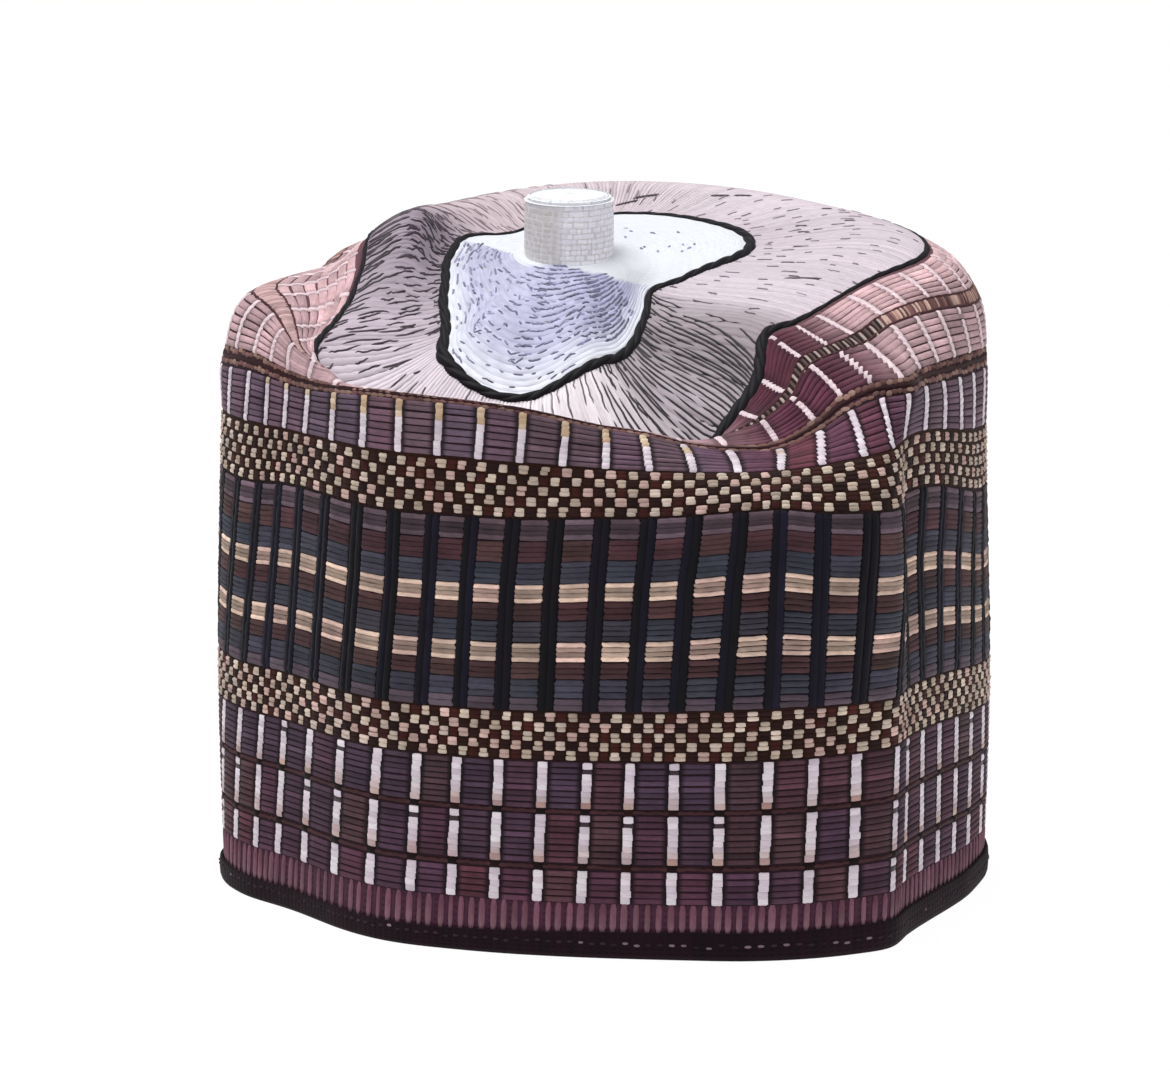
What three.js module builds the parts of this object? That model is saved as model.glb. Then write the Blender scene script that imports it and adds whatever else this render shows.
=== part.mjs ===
// Hausa cap: a tall soft cap of banded cotton with an embroidered crown.
// Millimetres. X runs to the wearer's left, Y to the back, Z up; the hem rests on Z = 0.

import * as THREE from 'three';

// Driving sizes
const capWidth = 195;
const capDepth = 163;
const wallHeight = 138;
const crownRise = 30;
const wallThickness = 1.6;
const crownThickness = 1.8;
const hemHeight = 7.2;
const tapeThickness = 0.8;
const edgeCordThickness = 2.6;
const centreCordThickness = 3.0;
const knobDiameter = 23;
const knobHeight = 14.5;
const clearance = 0.3;
const seamEase = 0.25;
const knobEase = 0.5;
const knobFlare = 0.6;
const underEase = 0.1;
const probe = 0.6;

// Places given as shares of the sizes above
const knobAcross = -0.087;
const knobAlong = 0.037;
const knobLift = 0.78;
const footShare = 0.989;
const browShare = 0.985;
const foldLean = -0.3;
const seatDrop = 0.03;
const seatTilt = 0.043;
const cordSink = 0.12;

// Length of cloth from the hem to each ring of the form, along one upright thread
const clothRun = {
  foot: 0,
  waist: 49.5,
  brow: 122,
  lip: 137,
  fold: 151.5,
  step: 159,
  edge: 166,
  white: 206,
  seat: 234,
  top: 246,
};

// Turn is the angle round the cap in degrees: 0 at the wearer's left, 90 at the back, 270 in front.
// Reach is the distance from the middle as a share of half the width or depth.
// Rise is a share of the wall height, and lift a share of the crown rise above the wall.
const footRows = [
  { turn: 6, reach: 1.01 },
  { turn: 90, reach: 0.995 },
  { turn: 161, reach: 0.985 },
  { turn: 180, reach: 0.993 },
  { turn: 192, reach: 0.954 },
  { turn: 203, reach: 0.9 },
  { turn: 237, reach: 0.938 },
  { turn: 249, reach: 0.935 },
  { turn: 282, reach: 1.01 },
  { turn: 290, reach: 1.062 },
  { turn: 305, reach: 1.114 },
  { turn: 310, reach: 1.116 },
  { turn: 318, reach: 1.04 },
  { turn: 351, reach: 0.975 },
];

const waistRows = [
  { turn: 0, rise: 0.333 },
  { turn: 90, rise: 0.348 },
  { turn: 181, rise: 0.351 },
  { turn: 273, rise: 0.359 },
  { turn: 318, rise: 0.368 },
  { turn: 335, rise: 0.359 },
];

const browRows = [
  { turn: 0, rise: 0.848 },
  { turn: 30, rise: 0.855 },
  { turn: 181, rise: 0.878 },
  { turn: 240, rise: 0.891 },
  { turn: 295, rise: 0.886 },
  { turn: 318, rise: 0.908 },
];

// The bearing is where the thread has moved to, since folds pull the threads sideways
const lipRows = [
  { turn: 4, bearing: 4, reach: 0.99, lift: -0.12 },
  { turn: 22, bearing: 22, reach: 1.005, lift: -0.08 },
  { turn: 112, bearing: 112, reach: 0.985, lift: 0.02 },
  { turn: 162, bearing: 162, reach: 0.96, lift: -0.02 },
  { turn: 174, bearing: 174, reach: 0.98, lift: -0.09 },
  { turn: 195, bearing: 195, reach: 0.913, lift: -0.03 },
  { turn: 205, bearing: 205, reach: 0.873, lift: -0.08 },
  { turn: 236, bearing: 236, reach: 0.914, lift: -0.01 },
  { turn: 250, bearing: 250, reach: 0.912, lift: -0.03 },
  { turn: 257, bearing: 257, reach: 0.918, lift: -0.06 },
  { turn: 270, bearing: 269.5, reach: 0.877, lift: -0.21 },
  { turn: 277, bearing: 276, reach: 0.864, lift: -0.27 },
  { turn: 289, bearing: 290, reach: 0.874, lift: -0.42 },
  { turn: 294, bearing: 298.5, reach: 0.885, lift: -0.43 },
  { turn: 300, bearing: 306, reach: 0.905, lift: -0.28 },
  { turn: 306, bearing: 311, reach: 0.91, lift: -0.13 },
  { turn: 311, bearing: 314.5, reach: 0.967, lift: -0.01 },
  { turn: 315, bearing: 315.5, reach: 1.038, lift: 0.04 },
  { turn: 326, bearing: 326, reach: 0.964, lift: 0.01 },
  { turn: 353, bearing: 353, reach: 0.953, lift: -0.08 },
];

// Share is how far in from the lip the shoulder stands highest; puff and dip bend it out and in
const shoulderRows = [
  { turn: 10, share: 0.42, puff: 0.27, dip: 0.09 },
  { turn: 40, share: 0.47, puff: 0.22, dip: 0.05 },
  { turn: 120, share: 0.46, puff: 0.21, dip: 0 },
  { turn: 141, share: 0.42, puff: 0.2, dip: -0.03 },
  { turn: 150, share: 0.42, puff: 0.09, dip: -0.05 },
  { turn: 165, share: 0.4, puff: 0.16, dip: -0.1 },
  { turn: 178, share: 0.37, puff: 0.26, dip: -0.14 },
  { turn: 195, share: 0.38, puff: 0.22, dip: -0.08 },
  { turn: 215, share: 0.48, puff: 0.12, dip: 0.02 },
  { turn: 235, share: 0.5, puff: 0.1, dip: 0 },
  { turn: 285, share: 0.5, puff: 0.1, dip: 0 },
  { turn: 309, share: 0.5, puff: 0.05, dip: 0 },
  { turn: 330, share: 0.47, puff: 0.18, dip: 0.04 },
  { turn: 345, share: 0.47, puff: 0.22, dip: 0.06 },
];

// Outer edge of the embroidered crown
const edgeRows = [
  { turn: 42, bearing: 44, reach: 0.805, lift: 0.89 },
  { turn: 90, bearing: 90, reach: 0.76, lift: 0.96 },
  { turn: 138, bearing: 131, reach: 0.735, lift: 0.84 },
  { turn: 156, bearing: 148, reach: 0.675, lift: 0.815 },
  { turn: 178, bearing: 169, reach: 0.62, lift: 0.8 },
  { turn: 192, bearing: 183, reach: 0.63, lift: 0.55 },
  { turn: 196, bearing: 190, reach: 0.655, lift: 0.43 },
  { turn: 200, bearing: 196, reach: 0.7, lift: 0.33 },
  { turn: 211, bearing: 207.5, reach: 0.82, lift: 0.1 },
  { turn: 218, bearing: 214.5, reach: 0.82, lift: -0.17 },
  { turn: 225, bearing: 221.5, reach: 0.815, lift: -0.42 },
  { turn: 237, bearing: 232, reach: 0.795, lift: -0.6 },
  { turn: 249, bearing: 244, reach: 0.775, lift: -0.7 },
  { turn: 261, bearing: 257.5, reach: 0.755, lift: -0.75 },
  { turn: 282, bearing: 282, reach: 0.75, lift: -0.68 },
  { turn: 289, bearing: 290, reach: 0.75, lift: -0.53 },
  { turn: 294, bearing: 297, reach: 0.72, lift: -0.25 },
  { turn: 300, bearing: 307, reach: 0.645, lift: -0.01 },
  { turn: 306, bearing: 316, reach: 0.565, lift: 0.28 },
  { turn: 312, bearing: 326, reach: 0.585, lift: 0.36 },
  { turn: 337, bearing: 350, reach: 0.69, lift: 0.61 },
  { turn: 356, bearing: 365, reach: 0.825, lift: 0.72 },
];

// Edge of the white middle, measured from the knob
const whiteRows = [
  { turn: 40, bearing: 52, reach: 0.545, lift: 0.83 },
  { turn: 115, bearing: 96, reach: 0.43, lift: 0.82 },
  { turn: 140, bearing: 116, reach: 0.365, lift: 0.76 },
  { turn: 162, bearing: 139, reach: 0.36, lift: 0.77 },
  { turn: 181, bearing: 165, reach: 0.32, lift: 0.68 },
  { turn: 192, bearing: 193, reach: 0.325, lift: 0.55 },
  { turn: 201, bearing: 213, reach: 0.38, lift: 0.38 },
  { turn: 225, bearing: 233, reach: 0.52, lift: 0.07 },
  { turn: 258, bearing: 258, reach: 0.565, lift: -0.18 },
  { turn: 284, bearing: 280, reach: 0.475, lift: 0.08 },
  { turn: 292, bearing: 288, reach: 0.425, lift: 0.09 },
  { turn: 299, bearing: 297, reach: 0.37, lift: 0.18 },
  { turn: 305, bearing: 306, reach: 0.32, lift: 0.3 },
  { turn: 311, bearing: 324, reach: 0.25, lift: 0.45 },
  { turn: 323, bearing: 346, reach: 0.3, lift: 0.57 },
  { turn: 350, bearing: 375, reach: 0.475, lift: 0.71 },
];

// Degrees of turn between cuts, in the plain stretches and in the creased ones
const plainStep = 7;
const creaseStep = 2.5;
const creases = [
  { from: 186, to: 230 },
  { from: 284, to: 334 },
];

const ringNames = Object.keys(clothRun);
const runs = ringNames.map((name) => clothRun[name]);

function hermite(a, b, slopeA, slopeB, span, s) {
  const s2 = s * s;
  const s3 = s2 * s;
  const fromA = (2 * s3 - 3 * s2 + 1) * a + (s3 - 2 * s2 + s) * span * slopeA;
  const fromB = (3 * s2 - 2 * s3) * b + (s3 - s2) * span * slopeB;
  return fromA + fromB;
}

// Value of one column of a table at any turn, as a smooth closed curve; wrap is 360 for bearings
function closedCurve(rows, column, turn, wrap = 0) {
  const count = rows.length;
  const at = (k) => {
    const lap = Math.floor(k / count);
    const row = rows[k - lap * count];
    return { x: row.turn + 360 * lap, y: row[column] + wrap * lap };
  };
  const lapOfTurn = Math.floor((turn - rows[0].turn) / 360);
  const local = turn - 360 * lapOfTurn;
  let k = 0;
  while (k < count - 1 && at(k + 1).x <= local) {
    k += 1;
  }
  const before = at(k - 1);
  const a = at(k);
  const b = at(k + 1);
  const after = at(k + 2);
  const slope = (p, q) => (q.y - p.y) / (q.x - p.x);
  const middle = (p, q, r) => {
    const weighted = slope(p, q) * (r.x - q.x) + slope(q, r) * (q.x - p.x);
    return weighted / (r.x - p.x);
  };
  const span = b.x - a.x;
  const value = hermite(a.y, b.y, middle(before, a, b), middle(a, b, after), span, (local - a.x) / span);
  return value + wrap * lapOfTurn;
}

function polar(bearing, reach, z) {
  const angle = THREE.MathUtils.degToRad(bearing);
  const x = (capWidth / 2) * reach * Math.cos(angle);
  const y = (capDepth / 2) * reach * Math.sin(angle);
  return new THREE.Vector3(x, y, z);
}

function liftedRing(rows, turn) {
  const bearing = closedCurve(rows, 'bearing', turn, 360);
  const z = wallHeight + crownRise * closedCurve(rows, 'lift', turn);
  return polar(bearing, closedCurve(rows, 'reach', turn), z);
}

const knobFoot = new THREE.Vector3((knobAcross * capWidth) / 2, (knobAlong * capDepth) / 2, 0);

// The points where one upright thread crosses each ring, from hem to knob
function threadPoints(turn) {
  const reach = closedCurve(footRows, 'reach', turn);
  const lip = liftedRing(lipRows, turn);
  const edge = liftedRing(edgeRows, turn);
  const chord = edge.clone().sub(lip);
  const angle = THREE.MathUtils.degToRad(turn);
  const outward = new THREE.Vector3(foldLean * Math.cos(angle), foldLean * Math.sin(angle), 1);
  outward.addScaledVector(chord, -outward.dot(chord) / chord.lengthSq()).normalize();
  const puff = crownRise * closedCurve(shoulderRows, 'puff', turn);
  const dip = crownRise * closedCurve(shoulderRows, 'dip', turn);
  const fold = lip.clone().addScaledVector(chord, closedCurve(shoulderRows, 'share', turn));
  fold.addScaledVector(outward, puff);
  const step = fold.clone().add(edge).multiplyScalar(0.5).addScaledVector(outward, dip);
  const around = THREE.MathUtils.degToRad(closedCurve(whiteRows, 'bearing', turn, 360));
  const seatRadius = knobDiameter / 2 + knobEase;
  const seatLift = knobLift - seatDrop + seatTilt * Math.sin(around);
  const seat = knobFoot.clone();
  seat.x += seatRadius * Math.cos(around);
  seat.y += seatRadius * Math.sin(around);
  seat.z = wallHeight + crownRise * seatLift;
  const top = knobFoot.clone().setZ(wallHeight + crownRise * knobLift);
  return [
    polar(turn, reach * footShare, 0),
    polar(turn, reach, wallHeight * closedCurve(waistRows, 'rise', turn)),
    polar(turn, reach * browShare, wallHeight * closedCurve(browRows, 'rise', turn)),
    lip,
    fold,
    step,
    edge,
    liftedRing(whiteRows, turn).add(knobFoot),
    seat,
    top,
  ];
}

// A thread is a smooth curve through its points, read by the length of cloth from the hem
function makeThread(turn) {
  const points = threadPoints(turn);
  const last = points.length - 1;
  const slopes = points.map((point, k) => {
    const low = Math.max(k - 1, 0);
    const high = Math.min(k + 1, last);
    const before = k > 0 ? points[k].clone().sub(points[low]).divideScalar(runs[k] - runs[low]) : null;
    const after = k < last ? points[high].clone().sub(points[k]).divideScalar(runs[high] - runs[k]) : null;
    if (!before) {
      return after;
    }
    if (!after) {
      return before;
    }
    const spanBefore = runs[k] - runs[low];
    const spanAfter = runs[high] - runs[k];
    before.multiplyScalar(spanAfter).addScaledVector(after, spanBefore);
    return before.divideScalar(spanBefore + spanAfter);
  });
  return (run) => {
    let k = 0;
    while (k < last - 1 && runs[k + 1] <= run) {
      k += 1;
    }
    const span = runs[k + 1] - runs[k];
    const s = (run - runs[k]) / span;
    const along = (axis) => hermite(
      points[k][axis],
      points[k + 1][axis],
      slopes[k][axis],
      slopes[k + 1][axis],
      span,
      s,
    );
    return new THREE.Vector3(along('x'), along('y'), along('z'));
  };
}

const threads = new Map();

function surfacePoint(turn, run) {
  const key = turn.toFixed(3);
  if (!threads.has(key)) {
    threads.set(key, makeThread(turn));
  }
  return threads.get(key)(run);
}

function surfaceNormal(turn, run) {
  const low = Math.max(run - probe, 0);
  const high = Math.min(run + probe, clothRun.top - probe);
  const round = surfacePoint(turn + probe, run).sub(surfacePoint(turn - probe, run));
  const up = surfacePoint(turn, high).sub(surfacePoint(turn, low));
  return round.cross(up).normalize();
}

// Middle of the round cord that lies in the seam at one ring, a little proud of the cloth
function cordCentre(turn, ring, thickness) {
  const centre = surfacePoint(turn, ring);
  return centre.addScaledVector(surfaceNormal(turn, ring), -cordSink * thickness);
}

// Turns at which the cap is cut into strips, closer where it is creased
function cutTurns() {
  const turns = [];
  let turn = 0;
  while (turn < 359.9) {
    turns.push(turn);
    const here = turn;
    const isCreased = creases.some((crease) => here >= crease.from && here < crease.to);
    turn += isCreased ? creaseStep : plainStep;
  }
  return turns;
}

const turns = cutTurns();

function seamLine(ring, thickness) {
  return turns.map((turn) => cordCentre(turn, ring, thickness));
}

function distanceToLine(point, line) {
  const nearest = new THREE.Vector3();
  return Math.min(...line.map((start, k) => {
    const stretch = new THREE.Line3(start, line[(k + 1) % line.length]);
    return stretch.closestPointToPoint(point, true, nearest).distanceTo(point);
  }));
}

// Lengths of cloth tried back from a seam
const seamSearch = { from: 0.5, to: 12, by: 0.1 };

// The run at which cloth of a given thickness stops, clear of the cord in its seam
function seamRun(turn, ring, cordLine, cordThickness, direction, thickness) {
  const needed = cordThickness / 2 + clearance + seamEase;
  const isClear = (run) => {
    const outside = surfacePoint(turn, run);
    const normal = surfaceNormal(turn, run);
    return [0, 0.5, 1].every((share) => {
      const point = outside.clone().addScaledVector(normal, -thickness * share);
      return distanceToLine(point, cordLine) >= needed;
    });
  };
  let step = seamSearch.from;
  while (step < seamSearch.to && !isClear(ring + direction * step)) {
    step += seamSearch.by;
  }
  return ring + direction * step;
}

// Closed skin round a tube of equal rows: sections[k] is a closed loop of points
function loopGeometry(sections) {
  const positions = [];
  const size = sections[0].length;
  const count = sections.length;
  sections.forEach((section) => section.forEach((point) => positions.push(point.x, point.y, point.z)));
  const index = [];
  for (let i = 0; i < count; i += 1) {
    for (let j = 0; j < size; j += 1) {
      const a = i * size + j;
      const b = ((i + 1) % count) * size + j;
      const c = ((i + 1) % count) * size + ((j + 1) % size);
      const d = i * size + ((j + 1) % size);
      index.push(a, b, c, a, c, d);
    }
  }
  const geometry = new THREE.BufferGeometry();
  geometry.setAttribute('position', new THREE.Float32BufferAttribute(positions, 3));
  geometry.setIndex(index);
  geometry.computeVertexNormals();
  return geometry;
}

// One strip of cloth between two runs, as a closed section: up the outside and down the inside
function clothSection(turn, runList, thickness) {
  const outside = runList.map((run) => surfacePoint(turn, run));
  const inside = runList.map((run) => {
    const point = surfacePoint(turn, run);
    return point.addScaledVector(surfaceNormal(turn, run), -thickness);
  });
  return outside.concat(inside.reverse());
}

function spread(low, high, shares) {
  return shares.map((share) => low + (high - low) * share);
}

// Where the cloth is cut across: runs up the wall, and shares of the way for the rest
const cuts = {
  wall: [26, 49.5, 86, 108, 122, 131, 137, 143],
  shoulder: [0, 0.35, 0.7, 1],
  ring: [0, 0.25, 0.5, 0.75, 1],
  centre: [0, 0.18, 0.36, 0.54, 0.78, 1],
};

function sideWall() {
  const start = tapeThickness + clearance;
  const cordLine = seamLine(clothRun.edge, edgeCordThickness);
  return loopGeometry(turns.map((turn) => {
    const end = seamRun(turn, clothRun.edge, cordLine, edgeCordThickness, -1, wallThickness);
    const rowsToEdge = spread(clothRun.fold, end, cuts.shoulder);
    return clothSection(turn, [start, ...cuts.wall, ...rowsToEdge], wallThickness);
  }));
}

function crownRing() {
  const outerLine = seamLine(clothRun.edge, edgeCordThickness);
  const innerLine = seamLine(clothRun.white, centreCordThickness);
  return loopGeometry(turns.map((turn) => {
    const start = seamRun(turn, clothRun.edge, outerLine, edgeCordThickness, 1, crownThickness);
    const end = seamRun(turn, clothRun.white, innerLine, centreCordThickness, -1, crownThickness);
    const runList = spread(start, end, cuts.ring);
    return clothSection(turn, runList, crownThickness);
  }));
}

// A skin closed by one point above and one below, for the pieces that cover the middle
function cappedGeometry(sections, topPoint, underPoint) {
  const positions = [];
  const size = sections[0].length;
  const count = sections.length;
  sections.forEach((section) => section.forEach((point) => positions.push(point.x, point.y, point.z)));
  positions.push(topPoint.x, topPoint.y, topPoint.z);
  positions.push(underPoint.x, underPoint.y, underPoint.z);
  const topIndex = count * size;
  const underIndex = topIndex + 1;
  const index = [];
  for (let i = 0; i < count; i += 1) {
    const next = (i + 1) % count;
    for (let j = 0; j < size - 1; j += 1) {
      const a = i * size + j;
      const b = next * size + j;
      const c = next * size + j + 1;
      const d = i * size + j + 1;
      index.push(a, b, c, a, c, d);
    }
    index.push(i * size + size - 1, next * size + size - 1, topIndex);
    index.push(next * size, i * size, underIndex);
  }
  const geometry = new THREE.BufferGeometry();
  geometry.setAttribute('position', new THREE.Float32BufferAttribute(positions, 3));
  geometry.setIndex(index);
  geometry.computeVertexNormals();
  return geometry;
}

function crownCentre() {
  const nearTop = clothRun.top - crownThickness - knobEase;
  const cordLine = seamLine(clothRun.white, centreCordThickness);
  const sections = turns.map((turn) => {
    const start = seamRun(turn, clothRun.white, cordLine, centreCordThickness, 1, crownThickness);
    const runList = spread(start, nearTop, cuts.centre);
    const section = clothSection(turn, runList, crownThickness);
    const outside = section.slice(0, runList.length);
    const inside = section.slice(runList.length);
    return inside.concat(outside);
  });
  const top = surfacePoint(0, clothRun.top);
  const under = top.clone();
  under.z -= crownThickness;
  return cappedGeometry(sections, top, under);
}

function seamCord(ring, thickness) {
  const sides = 6;
  const radius = thickness / 2;
  return loopGeometry(turns.map((turn) => {
    const normal = surfaceNormal(turn, ring);
    const before = surfacePoint(turn - probe, ring);
    const round = surfacePoint(turn + probe, ring).sub(before).normalize();
    const across = normal.clone().cross(round).normalize();
    const centre = cordCentre(turn, ring, thickness);
    const section = [];
    for (let k = 0; k < sides; k += 1) {
      const angle = (2 * Math.PI * k) / sides;
      const point = centre.clone();
      point.addScaledVector(across, -radius * Math.cos(angle));
      point.addScaledVector(normal, radius * Math.sin(angle));
      section.push(point);
    }
    return section;
  }));
}

// Folded tape gripping the lower edge of the wall; its underside is flat
function hemBinding() {
  const outer = clearance + tapeThickness;
  const inner = -(wallThickness + clearance + tapeThickness);
  const bevel = tapeThickness / 2;
  const outline = [
    { out: outer, z: bevel },
    { out: outer, z: hemHeight },
    { out: clearance, z: hemHeight },
    { out: clearance, z: tapeThickness },
    { out: inner + tapeThickness, z: tapeThickness },
    { out: inner + tapeThickness, z: hemHeight },
    { out: inner, z: hemHeight },
    { out: inner, z: bevel },
    { out: inner + bevel, z: 0 },
    { out: outer - bevel, z: 0 },
  ];
  return loopGeometry(turns.map((turn) => outline.map((corner) => {
    const normal = surfaceNormal(turn, corner.z).setZ(0).normalize();
    const point = surfacePoint(turn, corner.z);
    point.addScaledVector(normal, corner.out);
    return point.setZ(corner.z);
  })));
}

// Height of the crown at a distance from the middle of the knob
function crownUnder(turn, distance) {
  const middle = surfacePoint(turn, clothRun.top);
  let near = clothRun.white;
  let far = clothRun.top;
  for (let k = 0; k < 30; k += 1) {
    const half = (near + far) / 2;
    const point = surfacePoint(turn, half);
    if (Math.hypot(point.x - middle.x, point.y - middle.y) > distance) {
      near = half;
    } else {
      far = half;
    }
  }
  return surfacePoint(turn, near);
}

// Stitched button; its underside follows the crown, and its top is flat with a rounded rim
function knob() {
  const radius = knobDiameter / 2;
  const middle = surfacePoint(0, clothRun.top);
  const profile = [
    { share: 1, height: 0.3 },
    { share: 1, height: 0.6 },
    { share: 0.99, height: 0.86 },
    { share: 0.95, height: 0.95 },
    { share: 0.85, height: 0.985 },
    { share: 0.45, height: 0.998 },
  ];
  const knobTurns = turns.filter((turn, k) => k % 2 === 0);
  const sections = knobTurns.map((turn) => {
    const section = [0.45, 0.93, 1].map((share) => {
      const point = crownUnder(turn, radius * share);
      point.z += clearance + (share === 1 ? knobFlare : underEase);
      return point;
    });
    const rim = section[2];
    const direction = new THREE.Vector3(rim.x - middle.x, rim.y - middle.y, 0).normalize();
    profile.forEach((ring) => {
      const point = middle.clone().addScaledVector(direction, radius * ring.share);
      point.z = middle.z + knobHeight * ring.height;
      section.push(point);
    });
    return section;
  });
  const under = middle.clone();
  under.z += clearance + underEase;
  const top = middle.clone();
  top.z += knobHeight;
  return cappedGeometry(sections, top, under);
}

const finishes = {
  bandedCotton: new THREE.MeshStandardMaterial({ color: 0x5a4050, roughness: 0.9, metalness: 0 }),
  darkTape: new THREE.MeshStandardMaterial({ color: 0x2c1420, roughness: 0.85, metalness: 0 }),
  lilacThread: new THREE.MeshStandardMaterial({ color: 0xd9c6d2, roughness: 0.7, metalness: 0 }),
  whiteThread: new THREE.MeshStandardMaterial({ color: 0xeceaf2, roughness: 0.7, metalness: 0 }),
  blackCord: new THREE.MeshStandardMaterial({ color: 0x15121a, roughness: 0.8, metalness: 0 }),
};

function named(name, geometry, material) {
  const mesh = new THREE.Mesh(geometry, material);
  mesh.name = name;
  return mesh;
}

const cap = new THREE.Group();
cap.add(named('hem_binding', hemBinding(), finishes.darkTape));
cap.add(named('side_wall', sideWall(), finishes.bandedCotton));
cap.add(named('crown_ring', crownRing(), finishes.lilacThread));
cap.add(named('crown_centre', crownCentre(), finishes.whiteThread));
cap.add(named('crown_edge_cord', seamCord(clothRun.edge, edgeCordThickness), finishes.blackCord));
cap.add(named('centre_edge_cord', seamCord(clothRun.white, centreCordThickness), finishes.blackCord));
cap.add(named('knob', knob(), finishes.whiteThread));

// The origin is the middle of the cap's outline, on the surface that the hem rests on
const middle = new THREE.Box3().setFromObject(cap).getCenter(new THREE.Vector3());
cap.position.set(-middle.x, -middle.y, 0);

export default cap;
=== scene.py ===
import math

import bpy
import numpy as np
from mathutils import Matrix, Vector


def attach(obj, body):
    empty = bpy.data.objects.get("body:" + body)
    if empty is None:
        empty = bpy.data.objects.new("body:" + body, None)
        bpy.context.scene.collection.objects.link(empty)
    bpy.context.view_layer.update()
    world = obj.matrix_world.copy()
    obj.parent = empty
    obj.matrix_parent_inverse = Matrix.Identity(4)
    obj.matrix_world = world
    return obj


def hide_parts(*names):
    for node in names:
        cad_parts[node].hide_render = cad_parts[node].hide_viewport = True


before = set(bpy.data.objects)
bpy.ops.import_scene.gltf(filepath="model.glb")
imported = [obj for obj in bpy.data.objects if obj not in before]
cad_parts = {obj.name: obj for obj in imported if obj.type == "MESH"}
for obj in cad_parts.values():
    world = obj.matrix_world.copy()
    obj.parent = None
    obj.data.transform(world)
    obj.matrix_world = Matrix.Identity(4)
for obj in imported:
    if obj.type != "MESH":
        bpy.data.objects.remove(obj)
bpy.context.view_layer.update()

mm = 0.001
columns = 50  # upright columns of stitched bars round the cap
sizes = {
    "capWidth": 195.0, "capDepth": 163.0, "wallHeight": 138.0, "crownRise": 30.0,
    "wallThickness": 1.6, "crownThickness": 1.8, "hemHeight": 7.2, "tapeThickness": 0.8,
    "edgeCord": 2.6, "centreCord": 3.0, "knobDiameter": 23.0, "knobHeight": 14.5, "seatGap": 0.5,
    "clearance": 0.3,
}
shares = {
    "knobAcross": -0.087, "knobAlong": 0.037, "knobLift": 0.78, "foot": 0.989, "brow": 0.985,
    "foldLean": 0.3, "seatDrop": 0.03, "seatTilt": 0.043,
    "shiftX": -0.55, "shiftY": 3.31,  # mm from the form's own middle to the frame's origin
}
clothRun = {"foot": 0, "waist": 49.5, "brow": 122, "lip": 137, "fold": 151.5, "step": 159,
            "edge": 166, "white": 206, "seat": 234, "top": 246}  # mm of cloth up from the hem


def rows(names, *lines):
    return [dict(zip(names.split(), line)) for line in lines]


def listOf(table, name):
    return [row[name] for row in table]


# The form of the cap: turn is degrees round it, reach a share of half its width or depth,
# rise a share of the wall height, lift a share of the crown's rise above the wall
footRows = rows("turn reach", (6, 1.01), (90, 0.995), (161, 0.985), (180, 0.993), (192, 0.954), (203, 0.9),
                (237, 0.938), (249, 0.935), (282, 1.01), (290, 1.062), (305, 1.114), (310, 1.116),
                (318, 1.04), (351, 0.975))
waistRows = rows("turn rise", (0, 0.333), (90, 0.348), (181, 0.351), (273, 0.359), (318, 0.368), (335, 0.359))
browRows = rows("turn rise", (0, 0.848), (30, 0.855), (181, 0.878), (240, 0.891), (295, 0.886), (318, 0.908))
lipRows = rows(
    "turn bearing reach lift",
    (4, 4, 0.99, -0.12), (22, 22, 1.005, -0.08), (112, 112, 0.985, 0.02), (162, 162, 0.96, -0.02),
    (174, 174, 0.98, -0.09), (195, 195, 0.913, -0.03), (205, 205, 0.873, -0.08), (236, 236, 0.914, -0.01),
    (250, 250, 0.912, -0.03), (257, 257, 0.918, -0.06), (270, 269.5, 0.877, -0.21), (277, 276, 0.864, -0.27),
    (289, 290, 0.874, -0.42), (294, 298.5, 0.885, -0.43), (300, 306, 0.905, -0.28), (306, 311, 0.91, -0.13),
    (311, 314.5, 0.967, -0.01), (315, 315.5, 1.038, 0.04), (326, 326, 0.964, 0.01), (353, 353, 0.953, -0.08))
shoulderRows = rows(
    "turn share puff dip",
    (10, 0.42, 0.27, 0.09), (40, 0.47, 0.22, 0.05), (120, 0.46, 0.21, 0), (141, 0.42, 0.2, -0.03),
    (150, 0.42, 0.09, -0.05), (165, 0.4, 0.16, -0.1), (178, 0.37, 0.26, -0.14), (195, 0.38, 0.22, -0.08),
    (215, 0.48, 0.12, 0.02), (235, 0.5, 0.1, 0), (285, 0.5, 0.1, 0), (309, 0.5, 0.05, 0),
    (330, 0.47, 0.18, 0.04), (345, 0.47, 0.22, 0.06))
edgeRows = rows(
    "turn bearing reach lift",
    (42, 44, 0.805, 0.89), (90, 90, 0.76, 0.96), (138, 131, 0.735, 0.84), (156, 148, 0.675, 0.815),
    (178, 169, 0.62, 0.8), (192, 183, 0.63, 0.55), (196, 190, 0.655, 0.43), (200, 196, 0.7, 0.33),
    (211, 207.5, 0.82, 0.1), (218, 214.5, 0.82, -0.17), (225, 221.5, 0.815, -0.42), (237, 232, 0.795, -0.6),
    (249, 244, 0.775, -0.7), (261, 257.5, 0.755, -0.75), (282, 282, 0.75, -0.68), (289, 290, 0.75, -0.53),
    (294, 297, 0.72, -0.25), (300, 307, 0.645, -0.01), (306, 316, 0.565, 0.28), (312, 326, 0.585, 0.36),
    (337, 350, 0.69, 0.61), (356, 365, 0.825, 0.72))
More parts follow.
